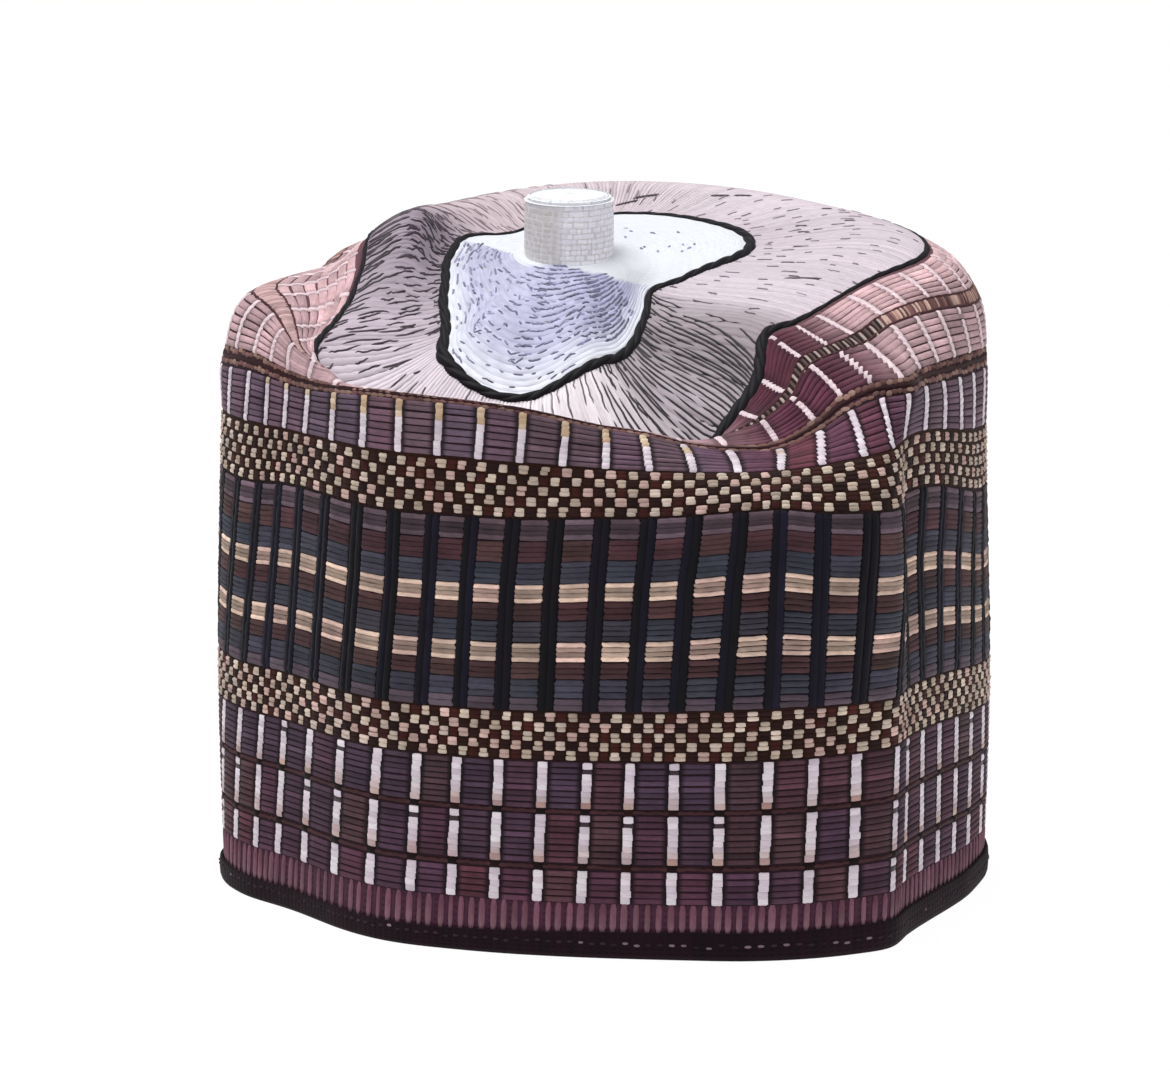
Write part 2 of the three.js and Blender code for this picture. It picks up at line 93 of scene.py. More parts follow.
whiteRows = rows(
    "turn bearing reach lift",
    (40, 52, 0.545, 0.83), (115, 96, 0.43, 0.82), (140, 116, 0.365, 0.76), (162, 139, 0.36, 0.77),
    (181, 165, 0.32, 0.68), (192, 193, 0.325, 0.55), (201, 213, 0.38, 0.38), (225, 233, 0.52, 0.07),
    (258, 258, 0.565, -0.18), (284, 280, 0.475, 0.08), (292, 288, 0.425, 0.09), (299, 297, 0.37, 0.18),
    (305, 306, 0.32, 0.3), (311, 324, 0.25, 0.45), (323, 346, 0.3, 0.57), (350, 375, 0.475, 0.71))
# How far each upright column drifts round the cap, in columns, at three heights of the cloth
driftRows = rows(
    "column low middle high",
    (0, 0.1, 0.3, 0.4), (10, 0, 0.3, 0.6), (20, -0.1, 0.7, 1.3), (23, -0.2, 1, 1.5), (25, -0.2, 0.95, 1.4),
    (26, -0.16, 0.8, 1.15), (27, -0.25, 0.5, 0.78), (28, -0.49, 0.3, 0.57), (29, -0.49, 0.34, 0.68),
    (30, -0.23, 0.56, 0.79), (31, 0, 0.66, 0.78), (32, 0.1, 0.58, 0.76), (33, 0.07, 0.44, 0.74),
    (34, 0.06, 0.36, 0.69), (36, 0.02, 0.33, 0.6), (37, -0.02, 0.22, 0.57), (38, -0.01, 0.09, 0.58),
    (39, -0.01, 0.1, 0.54), (40, 0, 0.2, 0.42), (41, 0, 0.2, 0.31), (42, 0.06, 0.1, 0.4),
    (43, 0.22, 0.38, 0.14), (44, 0.03, 0.1, -0.1), (45, 0.12, -0.12, 0.46), (46, 0.08, -0.1, 0.6),
    (48, 0, -0.05, 0.62), (49, 0.3, 0.02, 0.62))
driftRuns = (18, 90, 130)


def hermite(a, b, slopeA, slopeB, span, s):
    fromA = (2 * s**3 - 3 * s**2 + 1) * a + (s**3 - 2 * s**2 + s) * span * slopeA
    fromB = (3 * s**2 - 2 * s**3) * b + (s**3 - s**2) * span * slopeB
    return fromA + fromB


def closedCurve(table, name, turn, wrap=0):
    # one column of a table as a smooth closed curve; wrap is 360 for bearings
    x = np.array(listOf(table, "turn"), float)
    y = np.array(listOf(table, name), float)
    x = np.concatenate([x[-2:] - 360, x, x[:3] + 360])
    y = np.concatenate([y[-2:] - wrap, y, y[:3] + wrap])
    gap = np.diff(x)
    rate = np.diff(y) / gap
    slope = np.zeros(len(x))
    slope[1:-1] = (rate[:-1] * gap[1:] + rate[1:] * gap[:-1]) / (gap[1:] + gap[:-1])
    local = np.mod(turn - x[2], 360) + x[2]
    k = np.searchsorted(x, local, side="right") - 1
    value = hermite(y[k], y[k + 1], slope[k], slope[k + 1], gap[k], (local - x[k]) / gap[k])
    return value + (turn - local if wrap else 0)


def polar(bearing, reach, z):
    angle = np.radians(bearing)
    x = sizes["capWidth"] / 2 * reach * np.cos(angle)
    y = sizes["capDepth"] / 2 * reach * np.sin(angle)
    return np.stack([x, y, z + 0 * x], -1)


def liftedRing(table, turn):
    z = sizes["wallHeight"] + sizes["crownRise"] * closedCurve(table, "lift", turn)
    return polar(closedCurve(table, "bearing", turn, 360), closedCurve(table, "reach", turn), z)


def unit(vectors):
    return vectors / np.maximum(np.linalg.norm(vectors, axis=-1, keepdims=True), 1e-9)


knobFoot = np.array([shares["knobAcross"] * sizes["capWidth"] / 2,
                     shares["knobAlong"] * sizes["capDepth"] / 2, 0])


def ringPoints(turn):
    # where the upright thread at each turn crosses every ring, from hem to knob
    height, crown = sizes["wallHeight"], sizes["crownRise"]
    reach = closedCurve(footRows, "reach", turn)
    lip = liftedRing(lipRows, turn)
    edge = liftedRing(edgeRows, turn)
    chord = edge - lip
    angle = np.radians(turn)
    lean = -shares["foldLean"]
    outward = np.stack([lean * np.cos(angle), lean * np.sin(angle), np.ones_like(angle)], -1)
    along = np.sum(outward * chord, -1) / np.sum(chord * chord, -1)
    outward = unit(outward - chord * along[:, None])
    column = lambda name: closedCurve(shoulderRows, name, turn)[:, None]
    fold = lip + chord * column("share") + outward * crown * column("puff")
    step = (fold + edge) / 2 + outward * crown * column("dip")
    around = np.radians(closedCurve(whiteRows, "bearing", turn, 360))
    seatLift = shares["knobLift"] - shares["seatDrop"] + shares["seatTilt"] * np.sin(around)
    seatRadius = sizes["knobDiameter"] / 2 + sizes["seatGap"]
    seat = knobFoot + np.stack([seatRadius * np.cos(around), seatRadius * np.sin(around),
                                height + crown * seatLift], -1)
    top = knobFoot + np.array([0, 0, height + crown * shares["knobLift"]]) + 0 * seat
    return np.stack([
        polar(turn, reach * shares["foot"], 0),
        polar(turn, reach, height * closedCurve(waistRows, "rise", turn)),
        polar(turn, reach * shares["brow"], height * closedCurve(browRows, "rise", turn)),
        lip, fold, step, edge, liftedRing(whiteRows, turn) + knobFoot, seat, top], 1)


stepsPerTurn = 7200
runs = np.array(list(clothRun.values()), float)
turnTable = np.linspace(0, 360, stepsPerTurn + 1)
pointTable = ringPoints(turnTable) + np.array([shares["shiftX"], shares["shiftY"], 0])
rateTable = np.diff(pointTable, axis=1) / np.diff(runs)[:, None]
slopeTable = np.empty_like(pointTable)
slopeTable[:, 0] = rateTable[:, 0]
slopeTable[:, -1] = rateTable[:, -1]
before = np.diff(runs)[:-1, None]
after = np.diff(runs)[1:, None]
slopeTable[:, 1:-1] = (rateTable[:, :-1] * after + rateTable[:, 1:] * before) / (before + after)


def clothPoint(turn, run):
    # the cap's outer surface, in mm, at a turn and a length of cloth from the hem
    turn, run = np.broadcast_arrays(np.asarray(turn, float), np.asarray(run, float))
    place = np.mod(turn, 360) / 360 * stepsPerTurn
    low = np.minimum(place.astype(int), stepsPerTurn - 1)
    part = (place - low)[..., None]
    k = np.clip(np.searchsorted(runs, run, side="right") - 1, 0, len(runs) - 2)
    pick = lambda table, ring: table[low, ring] * (1 - part) + table[low + 1, ring] * part
    span = (runs[k + 1] - runs[k])[..., None]
    s = (run - runs[k])[..., None] / span
    return hermite(pick(pointTable, k), pick(pointTable, k + 1),
                   pick(slopeTable, k), pick(slopeTable, k + 1), span, s)


def clothNormal(turn, run):
    turn, run = np.broadcast_arrays(np.asarray(turn, float), np.asarray(run, float))
    step = 0.6  # degrees, and mm of cloth
    level = clothPoint(turn + step, run) - clothPoint(turn - step, run)
    low, high = np.maximum(run - step, 0), np.minimum(run + step, clothRun["top"] - 0.5)
    up = clothPoint(turn, high) - clothPoint(turn, low)
    return unit(np.cross(level, up))


def levelOut(turn):
    # straight out from the hem, level with the floor
    return unit(clothNormal(turn, 3.0) * np.array([1, 1, 0]))


evenRun = 18  # the columns are evenly spaced along the line at this run
evenLine = clothPoint(turnTable, evenRun)
girthSteps = np.concatenate([[0], np.cumsum(np.linalg.norm(np.diff(evenLine, axis=0), axis=1))])
girth = girthSteps[-1]
pitch = girth / columns
firstColumn = 0.4  # columns from turn 0 to the first bar


def turnOf(column, run):
    # the turn of a column of stitches at a height, drift and all
    column, run = np.broadcast_arrays(np.asarray(column, float), np.asarray(run, float))
    known = listOf(driftRows, "column")
    low, middle, high = [np.interp(column, known, listOf(driftRows, name), period=columns)
                         for name in ("low", "middle", "high")]
    first, second, third = driftRuns
    lower = np.clip((run - first) / (second - first), -0.3, 1)
    upper = np.clip((run - second) / (third - second), 0, 1)
    drift = low + (middle - low) * lower + (high - middle) * upper
    share = np.mod((firstColumn + column + drift) / columns, 1)
    return np.interp(share * girth, girthSteps, turnTable)


print("form ready, girth", round(girth, 1), "mm")


def hexLinear(text):
    srgb = np.array([int(text[k:k + 2], 16) for k in (1, 3, 5)]) / 255
    return np.where(srgb <= 0.04045, srgb / 12.92, ((srgb + 0.055) / 1.055) ** 2.4)


def addNode(tree, kind, settings=None, links=None):
    node = tree.nodes.new(kind)
    for key, value in (settings or {}).items():
        if isinstance(key, int) or key in node.inputs:
            node.inputs[key].default_value = value
        else:
            setattr(node, key, value)
    for key, source in (links or {}).items():
        tree.links.new(source, node.inputs[key])
    return node


def newMaterial(name):
    material = bpy.data.materials.new(name)
    material.use_nodes = True
    material.node_tree.nodes.clear()
    return material, material.node_tree


def addFibres(tree, look):
    # fine noise drawn out along each thread, which carries its length and width in mm as UV
    place = addNode(tree, "ShaderNodeTexCoord")
    stretch = addNode(tree, "ShaderNodeMapping", {"Scale": (look["alongFibre"], 1 / look["fibreMm"], 1)},
                      {"Vector": place.outputs["UV"]})
    return addNode(tree, "ShaderNodeTexNoise", {"Scale": 1.0, "Detail": 2.0},
                   {"Vector": stretch.outputs["Vector"]})


def addSurface(tree, look, height, colour=None):
    # relief, shader and output; without a linked colour the look's own hex is used
    bump = addNode(tree, "ShaderNodeBump", {"Strength": look["relief"], "Distance": look["bumpMm"] * mm},
                   {"Height": height})
    settings = {"Roughness": look["roughness"], "Specular IOR Level": look["specular"],
                "Sheen Weight": look["sheen"], "Sheen Roughness": look["sheenRoughness"]}
    links = {"Normal": bump.outputs["Normal"]}
    if colour is None:
        settings["Base Color"] = (*hexLinear(look["colour"]), 1)
    else:
        links["Base Color"] = colour
    surface = addNode(tree, "ShaderNodeBsdfPrincipled", settings, links)
    addNode(tree, "ShaderNodeOutputMaterial", {}, {"Surface": surface.outputs["BSDF"]})


def cottonThread():
    # mercerised cotton yarn, spun and laid flat: a soft matt body with a faint sheen and fibres along it
    look = {"fibreMm": 0.35, "alongFibre": 0.5, "blotchMm": 9.0, "blotch": (0.78, 1.2), "shade": (0.8, 1.12),
            "roughness": 0.78, "specular": 0.15, "sheen": 0.05, "sheenRoughness": 0.5, "relief": 0.5,
            "bumpMm": 0.12}
    material, tree = newMaterial("wovenCottonYarn")
    yarn = addNode(tree, "ShaderNodeAttribute", {"attribute_name": "yarnColour"})
    place = addNode(tree, "ShaderNodeTexCoord")
    blotch = addNode(tree, "ShaderNodeTexNoise", {"Scale": 1 / (look["blotchMm"] * mm), "Detail": 3.0},
                     {"Vector": place.outputs["Object"]})
    low, high = look["blotch"]
    tone = addNode(tree, "ShaderNodeMapRange",
                   {"From Min": 0.3, "From Max": 0.7, "To Min": low, "To Max": high},
                   {"Value": blotch.outputs["Fac"]})
    fibre = addFibres(tree, look)
    low, high = look["shade"]
    shade = addNode(tree, "ShaderNodeMapRange",
                    {"From Min": 0.3, "From Max": 0.7, "To Min": low, "To Max": high},
                    {"Value": fibre.outputs["Fac"]})
    both = addNode(tree, "ShaderNodeMath", {"operation": "MULTIPLY"},
                   {0: tone.outputs["Result"], 1: shade.outputs["Result"]})
    colour = addNode(tree, "ShaderNodeVectorMath", {"operation": "SCALE"},
                     {0: yarn.outputs["Color"], "Scale": both.outputs["Value"]})
    addSurface(tree, look, fibre.outputs["Fac"], colour.outputs["Vector"])
    return material


def satinThread():
    # rayon embroidery thread in dense satin stitch: bright, with a soft stripe of gloss along each stitch
    look = {"fibreMm": 0.3, "alongFibre": 0.35, "shade": (0.86, 1.06), "roughness": 0.5, "specular": 0.4,
            "sheen": 0.15, "sheenRoughness": 0.4, "relief": 0.5, "bumpMm": 0.1}
    material, tree = newMaterial("rayonSatinThread")
    yarn = addNode(tree, "ShaderNodeAttribute", {"attribute_name": "yarnColour"})
    fibre = addFibres(tree, look)
    low, high = look["shade"]
    shade = addNode(tree, "ShaderNodeMapRange",
                    {"From Min": 0.3, "From Max": 0.7, "To Min": low, "To Max": high},
                    {"Value": fibre.outputs["Fac"]})
    colour = addNode(tree, "ShaderNodeVectorMath", {"operation": "SCALE"},
                     {0: yarn.outputs["Color"], "Scale": shade.outputs["Result"]})
    addSurface(tree, look, fibre.outputs["Fac"], colour.outputs["Vector"])
    return material


def plainCloth():
    # plain-woven cotton ground under the stitches: dull, with the square grain of warp and weft,
    # whose real threads are near 0.4 mm and are drawn coarser to show
    look = {"threadMm": 0.9, "wander": 0.6, "shade": (0.7, 1.15), "roughness": 0.92, "specular": 0.12,
            "sheen": 0.04, "sheenRoughness": 0.6, "relief": 0.6, "bumpMm": 0.2}
    material, tree = newMaterial("plainWovenCotton")
    ground = addNode(tree, "ShaderNodeAttribute", {"attribute_name": "yarnColour"})
    place = addNode(tree, "ShaderNodeTexCoord")
    waves = 1 / look["threadMm"] / 6.28
    warp, weft = [addNode(tree, "ShaderNodeTexWave",
                          {"Scale": waves, "bands_direction": way, "Distortion": look["wander"]},
                          {"Vector": place.outputs["UV"]}) for way in "XY"]
    grain = addNode(tree, "ShaderNodeMath", {"operation": "MAXIMUM"},
                    {0: warp.outputs["Fac"], 1: weft.outputs["Fac"]})
    low, high = look["shade"]
    shade = addNode(tree, "ShaderNodeMapRange", {"To Min": low, "To Max": high},
                    {"Value": grain.outputs["Value"]})
    colour = addNode(tree, "ShaderNodeVectorMath", {"operation": "SCALE"},
                     {0: ground.outputs["Color"], "Scale": shade.outputs["Result"]})
    addSurface(tree, look, grain.outputs["Value"], colour.outputs["Vector"])
    return material


def blackCord():
    # waxed black cotton cord, twisted: almost no colour, with a low gloss along each strand
    look = {"colour": "#100d13", "fibreMm": 0.4, "roughness": 0.62, "specular": 0.2, "sheen": 0.02,
            "sheenRoughness": 0.5, "relief": 0.6, "bumpMm": 0.1}
    material, tree = newMaterial("twistedCottonCord")
    place = addNode(tree, "ShaderNodeTexCoord")
    fibre = addNode(tree, "ShaderNodeTexNoise", {"Scale": 1 / (look["fibreMm"] * mm), "Detail": 3.0},
                    {"Vector": place.outputs["Object"]})
    addSurface(tree, look, fibre.outputs["Fac"])
    return material


materials = {"yarn": cottonThread(), "satin": satinThread(), "cloth": plainCloth(), "cord": blackCord()}
print("materials ready")


def makePiece(name, points, faces, material, colours=None, grain=None):
    # a mesh from points in mm; colours are one per point, grain is its UV in mm
    mesh = bpy.data.meshes.new(name)
    mesh.from_pydata((points * mm).tolist(), [], faces)
    if colours is not None:
        shade = mesh.color_attributes.new("yarnColour", "FLOAT_COLOR", "POINT")
        full = np.ones((len(points), 4), np.float32)
        full[:, :3] = colours
        shade.data.foreach_set("color", full.ravel())
    if grain is not None:
        corner = np.empty(len(mesh.loops), np.int32)
        mesh.loops.foreach_get("vertex_index", corner)
        layer = mesh.uv_layers.new(name="grain")
        layer.data.foreach_set("uv", grain[corner].astype(np.float32).ravel())
    mesh.polygons.foreach_set("use_smooth", np.ones(len(mesh.polygons), bool))
    mesh.materials.append(materials[material])
    mesh.update()
    piece = bpy.data.objects.new(name, mesh)
    bpy.context.scene.collection.objects.link(piece)
    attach(piece, "root")
    return piece


def gridFaces(down, across):
    # faces of a grid of points, `down` rows of `across`, joined round
    index = np.arange(down * across).reshape(down, across)
    right = np.roll(index, -1, axis=1)
    quads = np.stack([index[:-1], right[:-1], right[1:], index[1:]], -1)
    return quads.reshape(-1, 4).tolist()


def makeShell(name, points, material, colours, grain):
    # a grid of points closed round both ways, given as (ring, turn, 3)
    count, across = points.shape[:2]
    last = (count - 1) * across
    seam = [[last + k, last + (k + 1) % across, (k + 1) % across, k] for k in range(across)]
    return makePiece(name, points.reshape(-1, 3), gridFaces(count, across) + seam, material,
                     colours.reshape(-1, 3), grain.reshape(-1, 2))


def makeLining(name, points, normals, sunk, colours, grain):
    # closed cloth under the stitches of the crown, as thick as the crown
    inner = (points - normals * sizes["crownThickness"])[::-1]
    return makeShell(name, np.concatenate([points - normals * sunk, inner]), "cloth",
                     np.concatenate([colours, colours[::-1]]), np.concatenate([grain, grain[::-1]]))


# Every stitch: points across it, mm its foot lies under the surface, and its width at a fully tapered end
strand = {"sides": 5, "sink": 0.15, "narrowest": 0.35, "grainStep": 7.3}


def layStrands(name, centres, normals, widths, heights, colours, material,
               sink=strand["sink"], taper=0.0):
    # rounded stitches on a surface: centres and normals are (stitch, step, 3), widths and heights in mm;
    # taper is how much of the height is left at both ends
    count, steps = centres.shape[:2]
    widths, heights = [np.broadcast_to(size, (count, steps)) for size in (widths, heights)]
    along = unit(np.gradient(centres, axis=1))
    across = unit(np.cross(along, normals))
    angle = np.linspace(0, np.pi, strand["sides"])
    ends = np.ones(steps)
    ends[[0, -1]] = taper
    narrow = strand["narrowest"]
    half = (widths * (narrow + (1 - narrow) * ends))[:, :, None] / 2 * np.cos(angle)
    lift = (heights * ends)[:, :, None] * np.sin(angle) - sink
    sideways = across[:, :, None] * half[..., None]
    points = centres[:, :, None] + sideways + normals[:, :, None] * lift[..., None]
    index = np.arange(count * steps * len(angle)).reshape(count, steps, len(angle))
    quads = np.stack([index[:, :-1, :-1], index[:, 1:, :-1], index[:, 1:, 1:], index[:, :-1, 1:]], -1)
    lengths = np.linalg.norm(np.diff(centres, axis=1), axis=2)
    travel = np.concatenate([np.zeros((count, 1)), np.cumsum(lengths, 1)], 1)
    offset = np.arange(count)[:, None] * strand["grainStep"]
    grain = np.stack(np.broadcast_arrays((travel + offset)[:, :, None], half), -1)
    tint = colours[:, None, None] if colours.ndim == 2 else colours[:, :, None]
    tint = np.broadcast_to(tint, points.shape)
    return makePiece(name, points.reshape(-1, 3), quads.reshape(-1, 4).tolist(), material,
                     tint.reshape(-1, 3), grain.reshape(-1, 2))


def runStretch(turn, run):
    # mm of real surface to each mm of run, which the folds of the crown stretch
    low, high = np.maximum(run - 0.5, 0), np.minimum(run + 0.5, clothRun["top"])
    gap = np.linalg.norm(clothPoint(turn, high) - clothPoint(turn, low), axis=-1)
    return (gap / (high - low)).clip(0.9, 2.4)


def onWall(column, run):
    # points and normals at a column and run of the wall
    turn = turnOf(column, run)
    return clothPoint(turn, run), clothNormal(turn, run)


def stitchWall(name, column, run, widths, heights, colours, taper, material="yarn"):
    points, normals = onWall(column, run)
    return layStrands(name, points, normals, widths, heights, colours, material,
                      taper=taper)


def stitchCrown(name, turn, run, widths, heights, colours, sink=strand["sink"], taper=0.0):
    points, normals = clothPoint(turn, run), clothNormal(turn, run)
    return layStrands(name, points, normals, widths, heights, colours, "satin", sink=sink, taper=taper)


def vary(rng, count, spread):
    # one factor round 1 for each of count stitches
    return 1 + spread * rng.standard_normal((count, 1))


def dye(rng, hexes, count, spread=0.1):
    # count colours picked from hex values, each a little lighter or darker
    base = np.array([hexLinear(text) for text in hexes])
    picked = base[rng.integers(0, len(base), count)]
    return picked * vary(rng, count, spread).clip(0.5, 1.6)


# Camera: far off and a little above, as the photo was taken
view = {"elevation": 12.2, "distance": 2100.0, "target": (-4.5, 0.0, 89.0), "pxPerMm": 3.975,
        "imageWidth": 1170, "sensorWidth": 36, "clipEnd": 50}


def makeCamera():
    camera = bpy.data.objects.new("camera", bpy.data.cameras.new("camera"))
    bpy.context.scene.collection.objects.link(camera)
    angle = math.radians(view["elevation"])
    target = Vector(view["target"]) + Vector((shares["shiftX"], shares["shiftY"], 0))
    back = Vector((0, -math.cos(angle), math.sin(angle)))
    camera.location = (target + back * view["distance"]) * mm
    camera.rotation_euler = (math.pi / 2 - angle, 0, 0)
    camera.data.sensor_width = view["sensorWidth"]
    camera.data.lens = view["pxPerMm"] * view["distance"] * view["sensorWidth"] / view["imageWidth"]
    camera.data.clip_end = view["clipEnd"]
    bpy.context.scene.camera = camera


makeCamera()


# Wall: one cloth, whose ground shows as dark lines between the stitches
wall = {
    "flat": (0.564, 0.17), "area": 0.093,  # metres and square metres, before its top edge is gathered
    "around": 300, "inside": "#3a2a33", "sunk": 0.25, "insideEvery": 3,
    "levels": rows("first last count", (0.9, 49.5, 34), (51, 122, 44), (123, 165.8, 42)),
    # the ground lightens up the shoulder, from 134.5 to 166 mm of cloth, partly as painted light from above
    "ground": rows("run colour", (0, "#22131b"), (5, "#452737"), (13.5, "#452737"), (13.8, "#2a1820"),
                   (49, "#2a1820"), (49.6, "#2b160e"), (61.4, "#2b160e"), (62, "#16101a"),
                   (107.8, "#16101a"), (108.2, "#2b160e"), (122, "#2b160e"), (122.6, "#2a1820"),
                   (134.5, "#2a1820"), (141, "#452b32"), (166, "#6a4a52")),
}


def rampColours(table, run):
    known = listOf(table, "run")
    shades = np.array([hexLinear(text) for text in listOf(table, "colour")])
    return np.stack([np.interp(run, known, shades[:, k]) for k in range(3)], -1)


def makeWall():
    column = np.linspace(0, columns, wall["around"], endpoint=False)
    levels = np.concatenate([np.linspace(part["first"], part["last"], part["count"])
                             for part in wall["levels"]])
    c, r = np.meshgrid(column, levels)
    points, normals = onWall(c, r)
    outer = points - normals * wall["sunk"]
    ci, ri = np.meshgrid(column, levels[::wall["insideEvery"]][::-1])
    insidePoints, insideNormals = onWall(ci, ri)
    inner = insidePoints - insideNormals * sizes["wallThickness"]
    colours = np.concatenate([rampColours(wall["ground"], r),
                              np.broadcast_to(hexLinear(wall["inside"]), inner.shape)])
    grain = np.concatenate([np.stack([c * pitch, r], -1), np.stack([ci * pitch, ri], -1)])
    piece = makeShell("wallCloth", np.concatenate([outer, inner]), "cloth", colours, grain)
    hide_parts("side_wall")


makeWall()
print("wall ready")

# Rows of white bars with fine cross threads between them; first and last are mm of cloth up from the hem,
# halfBar is in columns, cut is how deep the groove beside a bar is and how much painted shade darkens it;
# side is the colour of the threads between the bars, lighter on the upper rows partly as painted light
# from above, and the last colour is painted shade in the pocket of the fold at the front right
barRows = {
    "rows": rows("first last bundles threads halfBar cut tan nicked head side pocket",
                 (13.9, 21.6, 5, 5, 0.11, 1, 0, 0.1, "white", "#52323e", "#52323e"),
                 (23.9, 35.8, 8, 8, 0.11, 1, 1, 0.35, "white", "#4f3540", "#4f3540"),
                 (37.7, 49.1, 8, 8, 0.11, 1, 1, 0.3, "white", "#4b3742", "#4b3742"),
                 (122.6, 134.2, 8, 8, 0.088, 1, 0, 0, "cream", "#705b69", "#6a3d4a"),
                 (139.2, 150, 7, 7, 0.08, 0.45, 0, 0.1, "pink", "#b9999e", "#5c3042"),
                 (154, 164.2, 7, 7, 0.074, 0.35, 0, 0.1, "pink", "#c8a6aa", "#542a39")),
    "pocketAt": 302, "pocketWide": 15,
}
bars = {
    "rise": 0.5, "profile": (0.4, 0.9, 1, 0.9, 0.4), "offsets": (-1, -0.6, 0, 0.6, 1), "overlap": 1.3,
    "white": ["#ddced8", "#d4c5d2", "#e3d8e0"], "tan": ["#a57c72", "#b89688", "#956a62"],
    "tanShares": (0.95, 0.6, 0.25), "nick": "#2b1420", "nickRise": 0.35,
    "cream": ["#cdb397", "#bfa084", "#d6bfa4"], "creamBundles": 3,
    "creamAt": 250, "creamWide": 42, "creamRun": 130,
    "pink": ["#ecd2d4", "#e6cbd0"], "pinkShare": 0.6,
}
fields = {
    "rise": 0.4, "grooveRise": 0.08, "groove": 0.1, "border": 0.05, "grooveShade": 0.88, "width": 0.82,
    "over": 0.2, "wander": 0.07, "wanderSpan": 9,
    "patch": ["#4a3a57", "#63343f", "#57403f", "#5a364c", "#433850"],
    "patchShare": 0.32, "steps": (0, 0.15, 0.2, 0.26, 0.5, 0.74, 0.8, 0.85),
}


def nearTurn(turn, middle, wide):
    # 1 around a turn, falling smoothly to 0 beyond it
    gap = np.mod(turn - middle + 180, 360) - 180
    return np.exp(-((gap / wide) ** 4))


def smoothNoise(rng, shape, span):
    # closed noise along the last axis, smoothed over span steps
    raw = rng.standard_normal(shape)
    window = np.hanning(2 * span + 1)
    window /= np.sqrt(np.sum(window ** 2))
    wide = np.concatenate([raw[..., -span:], raw, raw[..., :span]], -1)
    flat = wide.reshape(-1, wide.shape[-1])
    return np.array([np.convolve(line, window, "valid") for line in flat]).reshape(shape)


def barColour(rng, row, fromFoot, fromHead, front):
    # one bundle of a bar: white, with tan at some feet, and cream or pink at the heads of the upper rows
    colour = dye(rng, bars["white"], 1, 0.04)[0]
    if row["tan"] and fromFoot < len(bars["tanShares"]):
        fade = bars["tanShares"][fromFoot] * rng.uniform(0.5, 1)
        colour = colour * (1 - fade) + dye(rng, bars["tan"], 1, 0.1)[0] * fade
    if row["head"] == "cream" and fromHead < bars["creamBundles"] and rng.random() < front:
        colour = dye(rng, bars["cream"], 1, 0.08)[0]
    if row["head"] == "pink":
        share = bars["pinkShare"]
        colour = (1 - share) * colour + share * dye(rng, bars["pink"], 1, 0.05)[0]
    return colour


def makeBars():
    rng = np.random.default_rng(3)
    column, run, half, colours, nick, wide = [], [], [], [], [], []
    for row in barRows["rows"]:
        edges = np.linspace(row["first"], row["last"], row["bundles"] + 1)
        for k in range(columns):
            isNicked = rng.random() < row["nicked"]
            front = nearTurn(turnOf(k, bars["creamRun"]), bars["creamAt"], bars["creamWide"])
            for n in range(row["bundles"]):
                fromHead = row["bundles"] - 1 - n
                column.append(k)
                run.append((edges[n] + edges[n + 1]) / 2)
                wide.append(edges[1] - edges[0])
                half.append(row["halfBar"])
                colour = barColour(rng, row, n, fromHead, front)
                isNick = isNicked and fromHead == 1
                nick.append(bars["nickRise"] if isNick else 1 - 0.2 * rng.random() ** 3)
                colour = hexLinear(bars["nick"]) if isNick else colour * (1 - 0.15 * rng.random() ** 2)
                colours.append(colour)
    count = len(run)
    run = np.array(run) + 0.06 * rng.standard_normal(count)
    sway = np.array(bars["offsets"]) * vary(rng, count, 0.04) + 0.05 * rng.standard_normal((count, 1))
    c = np.array(column, float)[:, None] + np.array(half)[:, None] * sway
    r = np.broadcast_to(run[:, None], c.shape)
    tall = bars["rise"] * np.array(bars["profile"]) * np.array(nick)[:, None]
    thick = np.array(wide)[:, None] * bars["overlap"] * runStretch(turnOf(c, r), r)
    stitchWall("whiteBars", c, r, thick, tall, np.array(colours), 0.75, "satin")


def makeFields():
    rng = np.random.default_rng(5)
    steps = np.array(fields["steps"])
    c = np.append((np.arange(columns)[:, None] + steps).ravel(), columns)
    inCell = np.append(np.tile(steps, columns), 0)
    cell = np.append(np.repeat(np.arange(columns), len(steps)), 0)
    fromBar = np.minimum(inCell, 1 - inCell)
    run, tall, wide, colours = [], [], [], []
    for row in barRows["rows"]:
        patch = dye(rng, fields["patch"], columns, 0.08)
        edges = np.linspace(row["first"] - fields["over"], row["last"] + fields["over"], row["threads"] + 1)
        wander = smoothNoise(rng, (row["threads"], len(c) - 1), fields["wanderSpan"])
        beside = 1 - np.clip((fromBar - row["halfBar"] - fields["border"]) / fields["groove"], 0, 1)
        for n in range(row["threads"]):
            level = np.full(len(c), (edges[n] + edges[n + 1]) / 2)
            level[:-1] += fields["wander"] * wander[n]
            level[-1] = level[0]
            turn = turnOf(c, level)
            # the pocket of the fold at the front right gets the darker colour, which is painted shade
            pocket = nearTurn(turn, barRows["pocketAt"], barRows["pocketWide"])[:, None]
            base = hexLinear(row["side"]) * (1 - pocket) + hexLinear(row["pocket"]) * pocket
            own = base if row["head"] == "pink" else patch[cell]
            mixed = (1 - fields["patchShare"]) * base + fields["patchShare"] * own
            # the threads in the groove beside each bar are darkened as painted shade
            shade = 1 - fields["grooveShade"] * row["cut"] * beside
            tone = (1 + 0.13 * rng.standard_normal(columns))[cell] * (1 + 0.1 * rng.standard_normal())
            run.append(level)
            tall.append(fields["rise"] - (fields["rise"] - fields["grooveRise"]) * beside * row["cut"])
            wide.append((edges[1] - edges[0]) * fields["width"] * runStretch(turn, level))
            colours.append(mixed * (shade * tone)[:, None])
    run = np.array(run)
    stitchWall("fieldThreads", np.broadcast_to(c, run.shape), run, np.array(wide), np.array(tall),
               np.array(colours).clip(0.004, 1), 1)


makeBars()
makeFields()
print("bars ready")

